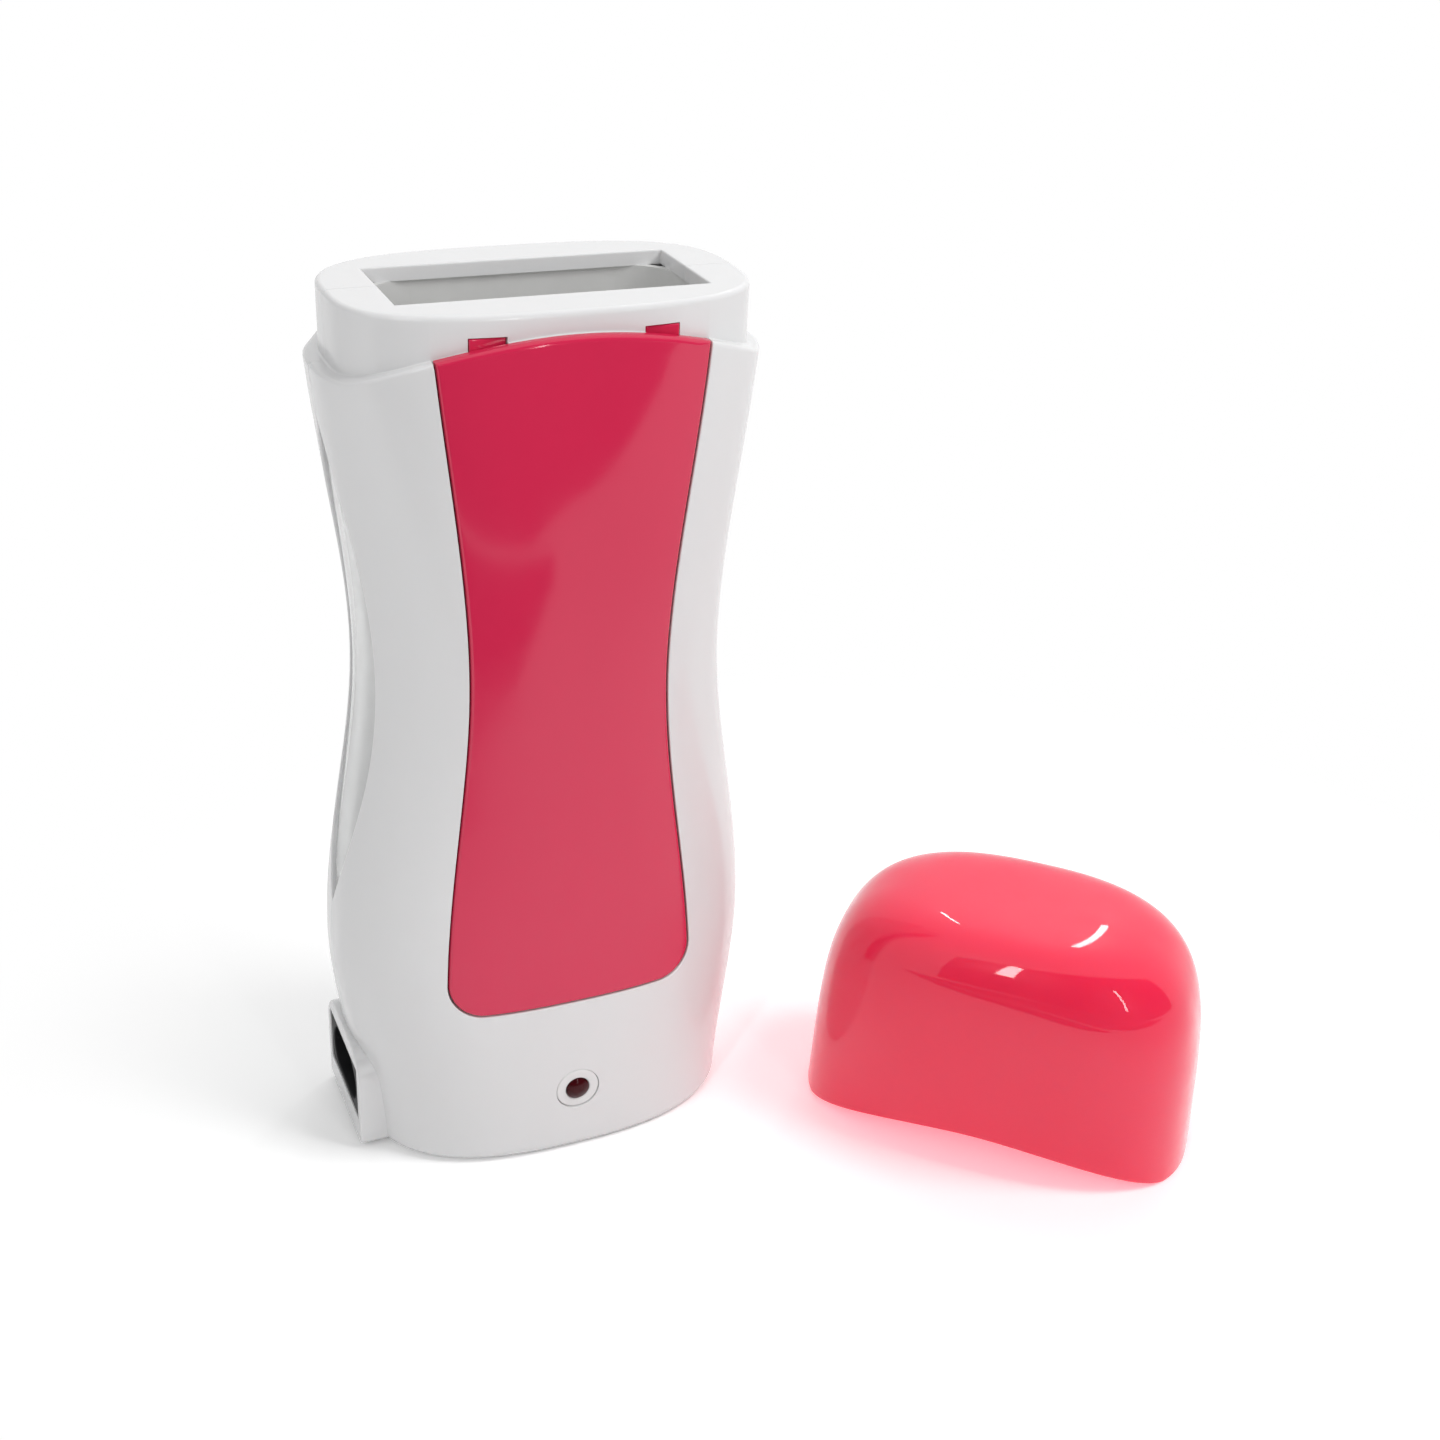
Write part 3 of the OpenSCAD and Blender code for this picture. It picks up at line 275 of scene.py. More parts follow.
@dataclass(frozen=True)
class ClearPlastic(Finish):
    """Clear moulded plastic: glossy, with a faint haze and slight waviness."""

    roughness: float = 0.06
    transmission: float = 1.0
    ior: float = 1.5
    wave: float = 0.000006

    def lay(self, tree: NodeTree) -> None:
        """Sets up the surface.

        Args:
            tree: Nodes of the material.
        """
        tree.set(IOR=self.ior, Transmission_Weight=self.transmission)
        tree.tint(tree.noise(scale=60, detail=2), self.colour, change=0.01)
        tree.roughen(tree.noise(scale=220, detail=3), self.roughness, low=0.7, high=1.5)
        tree.bump(tree.noise(scale=140, detail=2), self.wave, strength=0.5)
        tree.let_lamps_through(self.colour)


@dataclass(frozen=True)
class TintedCap(Finish):
    """Tinted translucent plastic of the cap: light goes through its wall and colours what is near."""

    roughness: float = 0.35
    ior: float = 1.3
    coat: float = 0.8
    clear: float = 0.08
    subsurface: float = 0.5
    radius: Colour = (1.0, 0.22, 0.28)
    depth: float = 0.0025
    wave: float = 0.000006
    shadow: Colour = (0.90, 0.52, 0.60)

    def lay(self, tree: NodeTree) -> None:
        """Sets up the surface.

        Args:
            tree: Nodes of the material.
        """
        tree.set(IOR=self.ior, Coat_Weight=self.coat, Coat_Roughness=0.03, Transmission_Weight=self.clear)
        tree.set(Subsurface_Weight=self.subsurface, Subsurface_Radius=self.radius)
        tree.set(Subsurface_Scale=self.depth)
        tree.tint(tree.noise(scale=38, detail=3, stretch=(1, 1, 0.4)), self.colour, change=0.02)
        tree.roughen(tree.noise(scale=150, detail=4), self.roughness, low=0.85, high=1.25)
        tree.bump(tree.noise(scale=120, detail=2), self.wave, strength=0.6)
        tree.let_lamps_through(self.shadow)


@dataclass(frozen=True)
class Metal(Finish):
    """Rolled or plated metal with fine drawing lines and slightly uneven polish."""

    roughness: float = 0.3
    brushed: Point = (1, 1, 1)
    scratch: float = 0.000004

    def lay(self, tree: NodeTree) -> None:
        """Sets up the surface.

        Args:
            tree: Nodes of the material.
        """
        tree.set(Metallic=1.0)
        tree.tint(tree.noise(scale=300, detail=3), self.colour, change=0.05)
        lines = tree.noise(scale=900, detail=3, stretch=self.brushed)
        tree.roughen(lines, self.roughness, low=0.75, high=1.3)
        tree.bump(lines, self.scratch, strength=0.5)


@dataclass(frozen=True)
class MattePiece(Finish):
    """Matte insulating piece: ceramic, laminate, sleeving, wire covering or lacquer."""

    roughness: float = 0.6
    grain: float = 0.00001
    grain_scale: float = 1800
    change: float = 0.06

    def lay(self, tree: NodeTree) -> None:
        """Sets up the surface.

        Args:
            tree: Nodes of the material.
        """
        pattern = tree.noise(self.grain_scale, detail=4)
        tree.tint(tree.noise(self.grain_scale / 6, detail=3), self.colour, self.change)
        tree.roughen(pattern, self.roughness, low=0.85, high=1.15)
        tree.bump(pattern, self.grain, strength=0.7)


def insulation(slot: str, colour: Colour) -> MattePiece:
    """Smooth soft covering of a wire."""
    return MattePiece(slot, colour, roughness=0.45, grain=0.000006, grain_scale=900, change=0.04)


# ---- Meshes from grids ----


def grid_faces(rows: int, cols: int, first: int, wrap: bool, flip: bool) -> list[tuple[int, ...]]:
    """Numbers the corners of the quads of a grid.

    Args:
        rows: Rows of points.
        cols: Points in a row.
        first: Number of the grid's first point.
        wrap: Whether the last column joins the first.
        flip: Whether the faces look the other way.

    Returns:
        The corner numbers of each quad.
    """
    faces = []
    for j in range(rows - 1):
        for i in range(cols if wrap else cols - 1):
            k = (i + 1) % cols
            low, high = first + j * cols, first + (j + 1) * cols
            quad = (low + i, low + k, high + k, high + i)
            faces.append(quad[::-1] if flip else quad)
    return faces


class MeshMaker:
    """Collects points and faces in millimetres and turns them into one object in metres."""

    def __init__(self) -> None:
        """Starts with no points and no faces."""
        self.points: list[np.ndarray] = []
        self.faces: list[tuple[int, ...]] = []
        self.count = 0

    def grid(self, grid: Grid, wrap: bool = False, flip: bool = False) -> int:
        """Adds a grid of points with its quads.

        Args:
            grid: Points, as rows by columns by 3.
            wrap: Whether the last column joins the first.
            flip: Whether the faces look the other way.

        Returns:
            The number of the grid's first point.
        """
        first = self.count
        rows, cols = grid.shape[:2]
        self.points.append(grid.reshape(-1, 3))
        self.faces += grid_faces(rows, cols, first, wrap, flip)
        self.count += rows * cols
        return first

    def slab(self, outer: Grid, inner: Grid) -> None:
        """Adds a closed plate between two grids of one size, and joins their borders.

        Args:
            outer: Grid whose faces look outwards as numbered.
            inner: Grid behind it.
        """
        rows, cols = outer.shape[:2]
        a = self.grid(outer)
        b = self.grid(inner, flip=True)
        last = (rows - 1) * cols
        for i in range(cols - 1):
            self.faces.append((b + i, b + i + 1, a + i + 1, a + i))
            self.faces.append((a + last + i, a + last + i + 1, b + last + i + 1, b + last + i))
        for j in range(rows - 1):
            r, s = j * cols, (j + 1) * cols
            self.faces.append((a + r, a + s, b + s, b + r))
            self.faces.append((b + r + cols - 1, b + s + cols - 1, a + s + cols - 1, a + r + cols - 1))

    def tube(self, rings: Grid) -> None:
        """Adds a closed solid through closed rings of points, with flat ends.

        Args:
            rings: Points, as rings by points by 3.
        """
        first = self.grid(rings, wrap=True)
        rows, cols = rings.shape[:2]
        self.faces.append(tuple(first + i for i in range(cols))[::-1])
        self.faces.append(tuple(first + (rows - 1) * cols + i for i in range(cols)))

    def build(self, name: str, sharp: float = 50) -> Object:
        """Makes the object, welds coinciding points and turns all faces outwards.

        Args:
            name: Name of the object.
            sharp: Angle in degrees above which an edge stays crisp.

        Returns:
            The new object, linked to the scene.
        """
        mesh = bpy.data.meshes.new(name)
        mesh.from_pydata((np.concatenate(self.points) * MM).tolist(), [], self.faces)
        work = bmesh.new()
        work.from_mesh(mesh)
        bmesh.ops.remove_doubles(work, verts=work.verts, dist=WELD)
        bmesh.ops.dissolve_degenerate(work, edges=work.edges, dist=WELD)
        bmesh.ops.recalc_face_normals(work, faces=work.faces)
        work.to_mesh(mesh)
        work.free()
        shade(mesh, sharp)
        return place_mesh(mesh)


def place_mesh(mesh: bpy.types.Mesh) -> Object:
    """Puts a mesh in the scene as an object of the same name.

    Args:
        mesh: Mesh of the object.

    Returns:
        The new object.
    """
    obj = bpy.data.objects.new(mesh.name, mesh)
    bpy.context.scene.collection.objects.link(obj)
    return obj


def shade(mesh: bpy.types.Mesh, sharp: float) -> None:
    """Shades a mesh smooth, with edges crisp above an angle of sharp degrees."""
    mesh.shade_smooth()
    mesh.set_sharp_from_angle(angle=math.radians(sharp))


def carve(obj: Object, tool: Object, operation: str = "DIFFERENCE") -> None:
    """Cuts a closed tool from a piece, or adds it, and removes the tool.

    Args:
        obj: Piece that changes.
        tool: Closed mesh.
        operation: DIFFERENCE or UNION.
    """
    modifier = obj.modifiers.new("carve", "BOOLEAN")
    modifier.operation = operation
    modifier.solver = "EXACT"
    modifier.object = tool
    apply_modifiers(obj)
    bpy.data.objects.remove(tool)
    shade(obj.data, CARVED_SHARP)


def solid(rings: Grid, name: str, sharp: float = 50) -> Object:
    """Makes a closed piece through rings of points, with flat ends.

    Args:
        rings: Points, as rings by points by 3.
        name: Name of the piece.
        sharp: Angle in degrees above which an edge stays crisp.

    Returns:
        The new piece.
    """
    maker = MeshMaker()
    maker.tube(rings)
    return maker.build(name, sharp)


def apply_modifiers(obj: Object) -> None:
    """Replaces a piece's mesh by the mesh that its modifiers give.

    Args:
        obj: Piece to settle.
    """
    bpy.context.view_layer.update()
    graph = bpy.context.evaluated_depsgraph_get()
    mesh = bpy.data.meshes.new_from_object(obj.evaluated_get(graph))
    obj.modifiers.clear()
    obj.data = mesh


def steady_normals(obj: Object) -> None:
    """Gives large faces the say over the shading, so that small roundings read crisp.

    Args:
        obj: Piece to shade.
    """
    modifier = obj.modifiers.new("normals", "WEIGHTED_NORMAL")
    modifier.keep_sharp = True
    modifier.weight = LARGE_FACE_WEIGHT
    apply_modifiers(obj)


def lathe(profile: Sequence[Flat], steps: int = 96) -> Grid:
    """Turns a profile round the Z axis.

    Args:
        profile: Outline as radius and height.
        steps: Divisions round the axis.

    Returns:
        The points, as profile points by steps by 3.
    """
    angles = np.linspace(0, 2 * np.pi, steps, endpoint=False)
    radius, height = np.array(profile).T[..., None]
    return np.stack([radius * np.cos(angles), radius * np.sin(angles), height + 0 * angles], -1)


def arc(cx: float, cy: float, radius: float, start: float, end: float, steps: int) -> list[Flat]:
    """Points of an arc.

    Args:
        cx: First coordinate of the centre.
        cy: Second coordinate of the centre.
        radius: Radius of the arc.
        start: Angle in degrees where it starts.
        end: Angle in degrees where it ends.
        steps: Divisions of the arc.

    Returns:
        The points from start to end.
    """
    return [
        (cx + radius * math.cos(math.radians(a)), cy + radius * math.sin(math.radians(a)))
        for a in np.linspace(start, end, steps + 1)
    ]


def round_box(half: Flat, radii: Flat, steps: int = 8) -> list[Flat]:
    """Outline of a rectangle with round corners, anticlockwise from the lower right corner.

    Args:
        half: Half sizes.
        radii: Radii of the lower and of the upper corners.
        steps: Divisions of a corner.

    Returns:
        The outline's points.
    """
    w, h = half
    low, top = radii
    return [
        *arc(w - low, low - h, low, -90, 0, steps),
        *arc(w - top, h - top, top, 0, 90, steps),
        *arc(top - w, h - top, top, 90, 180, steps),
        *arc(low - w, low - h, low, 180, 270, steps),
    ]


# ---- Form of the housing ----


def ease(t: Grid | float, v0: float, v1: float, slope: float = 0.0) -> Grid:
    """Smooth change from v0 to v1 as t goes from 0 to 1, with a slope at the end."""
    u = np.clip(t, 0, 1)
    return v0 + (v1 - v0) * u * u * (3 - 2 * u) + slope * (u**3 - u**2)


def bow(x: Grid, w: Grid, d: Grid, n: float) -> Grid:
    """Half depth at x of a superellipse with half width w, half depth d and exponent n."""
    return d * (1 - np.clip(np.abs(x) / w, 0, 1) ** n) ** (1 / n)


@dataclass(frozen=True)
class HousingForm:
    """Outer form of the housing and its neck, in millimetres."""

    height: float = 155.0
    base_half: Flat = (34.2, 24.5)
    hip: Flat = (37.8, 38.0)
    waist: Flat = (31.6, 94.0)
    waist_side: Flat = (19.8, 78.0)
    shoulder_half: Flat = (36.4, 22.2)
    shoulder_z: float = 144.0
    shoulder_rise: float = 7.6
    flare: float = 0.09
    n: float = 2.6
    base_edge: float = 2.4
    bend_z: float = 118.0
    neck_half: Flat = (33.7, 19.8)
    neck_n: float = 3.0
    neck_edge: float = 0.9
    mouth_half: Flat = (25.2, 10.5)
    top_plate: float = 2.4
    wall: float = 2.2
    front_wall: float = 4.0
    parting: float = 0.025

    @property
    def arch_radius(self) -> float:
        """Radius of the arc that the shoulder follows."""
        half = self.neck_half[0]
        return (half**2 + self.shoulder_rise**2) / (2 * self.shoulder_rise)

    def lift(self, x: Grid) -> Grid:
        """Rise of the shoulder line above its ends.

        Args:
            x: Distance from the middle.

        Returns:
            The rise at x.
        """
        radius = self.arch_radius
        inside = np.sqrt(np.maximum(radius**2 - np.asarray(x) ** 2, 0)) - (radius - self.shoulder_rise)
        return np.where(np.abs(x) < self.neck_half[0], np.maximum(inside, 0), 0.0)

    def share(self, level: Grid) -> Grid:
        """Share of the shoulder's rise in a row whose ends lie at this level."""
        height = np.asarray(level, float) - self.bend_z
        return np.clip(height / (self.shoulder_z - self.bend_z), 0, None) ** 2

    def _edge_inset(self, z: Grid) -> Grid:
        """Inset of the rounded base edge at height z."""
        q = np.clip(self.base_edge - np.asarray(z, float), 0, self.base_edge)
        return self.base_edge - np.sqrt(self.base_edge**2 - q**2)

    def half_w(self, z: Grid) -> Grid:
        """Half width of the housing.

        Args:
            z: Height.

        Returns:
            The half width at that height.
        """
        hip, hip_z = self.hip
        waist, waist_z = self.waist
        upper = self.shoulder_z - waist_z
        z = np.asarray(z, float)
        low = ease(z / hip_z, self.base_half[0], hip)
        mid = ease((z - hip_z) / (waist_z - hip_z), hip, waist)
        top = ease((z - waist_z) / upper, waist, self.shoulder_half[0], self.flare * upper)
        return np.where(z < hip_z, low, np.where(z < waist_z, mid, top)) - self._edge_inset(z)

    def half_d(self, z: Grid) -> Grid:
        """Half depth of the housing.

        Args:
            z: Height.

        Returns:
            The half depth at that height.
        """
        waist, waist_z = self.waist_side
        z = np.asarray(z, float)
        low = ease(z / waist_z, self.base_half[1], waist)
        top = ease((z - waist_z) / (self.shoulder_z - waist_z), waist, self.shoulder_half[1])
        return np.where(z < waist_z, low, top) - self._edge_inset(z)

    def face_y(self, x: Grid, z: Grid, inset: float = 0.0, depth: float = 0.0) -> Grid:
        """Distance from the parting plane to the face at x and z, drawn in by inset and depth."""
        return bow(x, self.half_w(z) - inset, self.half_d(z) - depth, self.n)

    def neck_y(self, x: Grid) -> float:
        """Distance from the parting plane to the face of the neck at x."""
        return float(bow(np.array(x), *self.neck_half, self.neck_n))

    def side_x(self, y: Grid, z: Grid, inset: float = 0.0) -> Grid:
        """Distance from the middle plane to the side of the housing at y and z."""
        return bow(y, self.half_d(z) - inset, self.half_w(z) - inset, self.n)

    def cavity_x(self, y: Grid, z: Grid, depth: float, room: float) -> Grid:
        """Distance from the middle plane to the inside of the wall at y and z, with room in it."""
        return bow(y, self.half_d(z) - depth - room, self.half_w(z) - self.wall - room, self.n)


class RingTable:
    """Even spacing along a quarter of a superellipse, from the middle of the face to the side."""

    SAMPLES = 1441

    def __init__(self, half_w: float, half_d: float, n: float) -> None:
        """Measures the quarter.

        Args:
            half_w: Half width.
            half_d: Half depth.
            n: Exponent.
        """
        self.n = n
        self.theta = np.linspace(np.pi / 2, 0, self.SAMPLES)
        x, y = self.unit(self.theta)
        run = np.hypot(np.diff(x * half_w), np.diff(y * half_d))
        self.phi = np.concatenate([[0], np.cumsum(run)]) / run.sum()

    def unit(self, theta: Grid) -> tuple[Grid, Grid]:
        """Point of the unit superellipse at the angles theta."""
        power = 2 / self.n
        return np.clip(np.cos(theta), 0, 1) ** power, np.clip(np.sin(theta), 0, 1) ** power

    def at(self, phi: Grid) -> tuple[Grid, Grid]:
        """Unit point at the shares phi of the way from the middle to the side."""
        return self.unit(np.interp(phi, self.phi, self.theta))

    def from_x(self, x: Grid) -> Grid:
        """Share of the way at which the unit point has this x."""
        theta = np.arccos(np.clip(x, 0, 1) ** (self.n / 2))
        return np.interp(-theta, -self.theta, self.phi)

    def from_y(self, y: Grid) -> Grid:
        """Share of the way at which the unit point has this y."""
        theta = np.arcsin(np.clip(y, 0, 1) ** (self.n / 2))
        return np.interp(-theta, -self.theta, self.phi)


@dataclass(frozen=True)
class Leaf:
    """Leaf-shaped outline of the side windows."""

    half: float = 8.4
    middle: float = 91.0
    reach: float = 44.0
    n: float = 2.6

    def width(self, z: Grid) -> Grid:
        """Half width at height z."""
        t = np.abs(np.asarray(z, float) - self.middle) / self.reach
        return self.half * (1 - np.clip(t, 0, 1) ** self.n)


@dataclass(frozen=True)
class PanelOutline:
    """Outline of the front panel on the housing."""

    low: float = 22.3
    mid: float = 16.9
    top: float = 21.8
    bottom: float = 31.6
    corner: float = 6.0
    thick: float = 1.8
    gap: float = 0.3
    seat: float = 1.9

    def top_z(self, form: HousingForm) -> float:
        """Height of the top corners."""
        return form.shoulder_z + float(form.lift(self.top))

    def half(self, z: Grid, form: HousingForm) -> Grid:
        """Half width of the panel, without its bottom corners.

        Args:
            z: Height.
            form: Form of the housing.

        Returns:
            The half width at that height.
        """
        waist_z = form.waist[1]
        upper = self.top_z(form) - waist_z
        z = np.asarray(z, float)
        low = ease((z - self.bottom) / (waist_z - self.bottom), self.low, self.mid)
        return np.where(z < waist_z, low, ease((z - waist_z) / upper, self.mid, self.top, form.flare * upper))

    def corner_nodes(self, offset: float, form: HousingForm, steps: int) -> tuple[Grid, Grid]:
        """Nodes round a bottom corner, from the bottom edge up to the side.

        Args:
            offset: Distance outside the outline.
            form: Form of the housing.
            steps: Divisions of the corner.

        Returns:
            Distances from the middle, and heights.
        """
        a = np.linspace(0, np.pi / 2, steps + 1)
        centre_x = float(self.half(self.bottom + self.corner, form)) - self.corner
        radius = self.corner + offset
        return centre_x + radius * np.sin(a), self.bottom + self.corner - radius * np.cos(a)

    def side_nodes(self, offset: float, levels: Grid, form: HousingForm) -> tuple[Grid, Grid]:
        """Nodes along a side, one for each level of the housing's rows.

        Args:
            offset: Distance outside the outline.
            levels: Levels of the rows.
            form: Form of the housing.

        Returns:
            Distances from the middle, and heights.
        """
        h = np.array(levels, float)
        for _ in range(CLOSE_ROUNDS):
            x = self.half(h, form) + offset
            h = levels + form.lift(x) * form.share(levels)
        return x, h


class RowKind(Enum):
    """Stretches of a shell's surface, from the middle of the base to the mouth."""

    BASE = 0
    EDGE = 1
    LOWER = 2
    SEAT = 3
    CORNER = 4
    SIDE = 5
    SHOULDER = 6
    LEDGE = 7
    ROOT = 8
    NECK = 9
    NECK_EDGE = 10
    TOP = 11
    MOUTH = 12


@dataclass(frozen=True)
class Row:
    """One row of a shell's surface: its stretch, its level, and its place in the stretch."""

    kind: RowKind
    level: float = 0.0
    t: float = 0.0
    index: int = 0


@dataclass
class Shell:
    """One half of the housing: its outer skin with every rounded edge, and its inner wall."""

    half: Half
    form: HousingForm
    leaf: Leaf
    panel: PanelOutline | None
    depth: float
    row_step: float = 1.6
    columns: int = 18
    floor_columns: int = 8
    fillet: float = 0.25
    fillet_steps: int = 3
    parting_edge: float = 0.14
    window_edge: float = 0.4
    shoulder_edge: float = 0.7
    root_edge: float = 0.35
    mouth_edge: float = 0.3
    corner_steps: int = 10
    base_steps: int = 7
    shoulder_steps: int = 4
    neck_steps: int = 6
    neck_edge_steps: int = 6
    top_steps: int = 5
    turn_x: float = 22.4
    seat_end: float = 4.0
    neck_skin: float = 0.06
    full_ledge: float = 2.4
    least_ledge: float = 0.03
    tiny: float = 0.000001
    table: RingTable = field(init=False)
    neck_table: RingTable = field(init=False)

    def __post_init__(self) -> None:
        """Measures the outlines that the columns follow."""
        self.table = RingTable(self.form.hip[0], self.form.base_half[1], self.form.n)
        self.neck_table = RingTable(*self.form.neck_half, self.form.neck_n)

    # -- rows --

    def rows(self) -> list[Row]:
        """Lists the rows from the middle of the base to the mouth.

        Returns:
            The rows in order.
        """
        form = self.form
        rows = [Row(RowKind.BASE)]
        rows += [Row(RowKind.EDGE, t=a) for a in np.linspace(0, 90, self.base_steps + 1)]
        top = form.shoulder_z - self.shoulder_edge
        low = form.base_edge
        tips = [self.leaf.middle - self.leaf.reach, self.leaf.middle + self.leaf.reach]
        if self.panel:
            offset = self.panel.gap + self.fillet
            floor = self.panel.bottom - offset
            rows += [Row(RowKind.LOWER, level=z) for z in self.spread_levels(low, floor)[1:]]
            rows += [Row(RowKind.SEAT, level=floor, index=k + 1) for k in range(self.fillet_steps + 1)]
            _, zs = self.panel.corner_nodes(offset, form, self.corner_steps)
            rows += [Row(RowKind.CORNER, level=z, index=k) for k, z in enumerate(zs) if k > 0]
            low = float(zs[-1])
        stops = [low, *tips, top]
        for a, b in zip(stops[:-1], stops[1:]):
            rows += [Row(RowKind.SIDE, level=z) for z in self.spread_levels(a, b)[1:]]
        turn = np.linspace(0, 90, self.shoulder_steps + 1)[1:]
        rows += [Row(RowKind.SHOULDER, level=form.shoulder_z, t=a) for a in turn]
        rows += [Row(RowKind.LEDGE, t=t) for t in (0.5, 1.0)]
        edge = np.linspace(0, 90, self.fillet_steps + 1)[1:]
        rows += [Row(RowKind.ROOT, t=a) for a in edge]
        rows += [Row(RowKind.NECK, t=t) for t in np.linspace(0, 1, self.neck_steps + 1)[1:]]
        rows += [Row(RowKind.NECK_EDGE, t=a) for a in np.linspace(0, 90, self.neck_edge_steps + 1)[1:]]
        rows += [Row(RowKind.TOP, t=t) for t in np.linspace(0, 1, self.top_steps + 1)[1:]]
        rows += [Row(RowKind.MOUTH, t=a) for a in edge]
        rows += [Row(RowKind.MOUTH, t=90, index=1)]
        return rows

    def spread_levels(self, low: float, high: float) -> Grid:
        """Even levels from low to high, about a row step apart."""
        return np.linspace(low, high, max(2, round((high - low) / self.row_step) + 1))

    # -- points on the skin --

    def edge_y(self, h: Grid) -> Grid:
        """Distance of the half's edge from the parting plane at height h."""
        return np.maximum(self.leaf.width(h), self.form.parting)

    def edge_radius(self, h: Grid) -> Grid:
        """Rounding of the half's edge at height h, which is larger along a window."""
        window = np.clip(self.leaf.width(h) / 2, 0, 1)
        return self.parting_edge + (self.window_edge - self.parting_edge) * window

    def skin(self, phi: Grid, level: Grid, inset: float, depth: float) -> tuple[Grid, Grid, Grid]:
        """Points of the skin, drawn in, at the shares phi of the way to the side.

        Args:
            phi: Shares of the way from the middle of the face to the side.
            level: Level of the row at each point.
            inset: Distance that the sides are drawn in.
            depth: Distance that the face is drawn in.

        Returns:
            Distance from the middle, distance from the parting plane, and height.
        """
        u, v = self.table.at(phi)
        h = np.array(level, float) + np.zeros_like(phi)
        for _ in range(ROUNDS):
            x = (self.form.half_w(h) - inset) * u
            h = level + self.form.lift(x) * self.form.share(level)
        return x, (self.form.half_d(h) - depth) * v, h

    def side_phi(self, level: Grid, depth: float, past: Grid | float) -> Grid:
        """Share of the way at which the skin, drawn in by depth, is past the half's edge by past."""
        return self.table.from_y((self.edge_y(level) + past) / (self.form.half_d(level) - depth))

    def edge_fillet(self, level: float) -> list[Point]:
        """Points round the half's edge, from the skin to the wall.

        Args:
            level: Level of the row.

        Returns:
            The points as distances from the middle, distances from the parting plane, and heights.
        """
        radius = float(self.edge_radius(level))
        edge = float(self.edge_y(level))
        points = []
        for k in range(1, self.fillet_steps + 1):
            a = math.radians(90 * k / self.fillet_steps)
            y = edge + radius * (1 - math.sin(a))
            points.append((float(self.form.side_x(y, level)) - radius * (1 - math.cos(a)), y, level))
        return points

    def seat_nodes(self, step: int, level: float, corner: int | None) -> Point:
        """Point of the panel seat's edge: on its rounding, or at the bottom of its wall.

        Args:
            step: Number of the point from the skin inwards.
            level: Level of the row.
            corner: Number of the node round the bottom corner, or None on the side.

        Returns:
            The point.
        """
        panel, form = self.panel, self.form
        a = math.radians(90 * min(step, self.fillet_steps) / self.fillet_steps)
        offset = panel.gap + self.fillet * (1 - math.sin(a))
        sunk = self.fillet * (1 - math.cos(a)) if step <= self.fillet_steps else panel.seat
        if corner is None:
            x, h = (float(v) for v in panel.side_nodes(offset, np.array(level), form))
        else:
            xs, zs = panel.corner_nodes(offset, form, self.corner_steps)
            x, h = float(xs[corner]), float(zs[corner])
        return x, float(form.face_y(x, h)) - sunk, h

    def body_row(self, row: Row, inner: bool) -> Grid:
        """One row of the body, from the middle of the face to the half's edge.

        Args:
            row: Row to lay out.
            inner: Whether the row lies on the inside of the wall.

        Returns:
            The row's points as distances from the middle and the parting plane, and heights.
        """
        form = self.form
        inset, depth = (form.wall, self.depth) if inner else (0.0, 0.0)
        level = row.level
        if inner:
            level = min(max(level, form.wall), form.shoulder_z - form.wall)
        end = float(self.side_phi(level, depth, 0.0 if inner else float(self.edge_radius(level))))
        if self.panel:
            points, start_phi, start_level = self.middle_columns(row, inner, level, inset, depth)
            t = np.linspace(0, 1, self.columns + 1)[1:]
        else:
            points, start_phi, start_level = [], 0.0, level
            t = np.linspace(0, 1, self.columns + self.floor_columns + 1)
        phi = start_phi + (end - start_phi) * t
        x, y, h = self.skin(phi, start_level + (level - start_level) * t, inset, depth)
        points += list(zip(x, y, h))
        if inner:
            edge = float(self.edge_y(level))
            last = (float(form.cavity_x(edge, level, self.depth, 0.0)), edge, level)
            points[-1] = last
            points += [last] * self.fillet_steps
        else:
            points += self.edge_fillet(level)
        return np.array(points, float)

    def middle_columns(
        self, row: Row, inner: bool, level: float, inset: float, depth: float
    ) -> tuple[list[Point], float, float]:
        """The columns of the front half that cross the panel's seat and its edge.

        Args:
            row: Row to lay out.
            inner: Whether the row lies on the inside of the wall.
            level: Level of the row on that side of the wall.
            inset: Distance that the sides are drawn in.
            depth: Distance that the face is drawn in.

        Returns:
            The points, and the share and the level where the strip beside the seat starts.
        """
        form, panel = self.form, self.panel
        steps = self.fillet_steps + 1
        corner = {RowKind.CORNER: row.index, RowKind.SEAT: 0, RowKind.LOWER: 0}.get(row.kind)
        fractions = np.linspace(0, 1, self.floor_columns + 1)[:-1]
        low_x, _ = panel.corner_nodes(panel.gap + self.fillet, form, self.corner_steps)
        if row.kind is RowKind.LOWER:
            x = float(low_x[0])
            edge = [(x, float(form.face_y(x, level, inset, depth)), level)] * (steps + 1)
            floor_x = fractions * x
            floor_h = np.full_like(floor_x, level)
            sunk = depth
        else:
            sink = row.index if row.kind is RowKind.SEAT else steps
            node_level = level if corner is None else row.level
            edge = [self.seat_nodes(min(k, sink), node_level, corner) for k in range(steps, -1, -1)]
            sunk = float(form.face_y(edge[0][0], edge[0][2])) - edge[0][1]
            if inner:
                x, _, h = edge[-1]
                edge = [(x, float(form.face_y(x, h, inset, depth)), h)] * (steps + 1)
                sunk = depth
            floor_x = fractions * edge[0][0]
            if corner is None:
                floor_h = level + form.lift(floor_x) * form.share(level)
            else:
                floor_h = np.full_like(floor_x, edge[0][2])
        if inner:
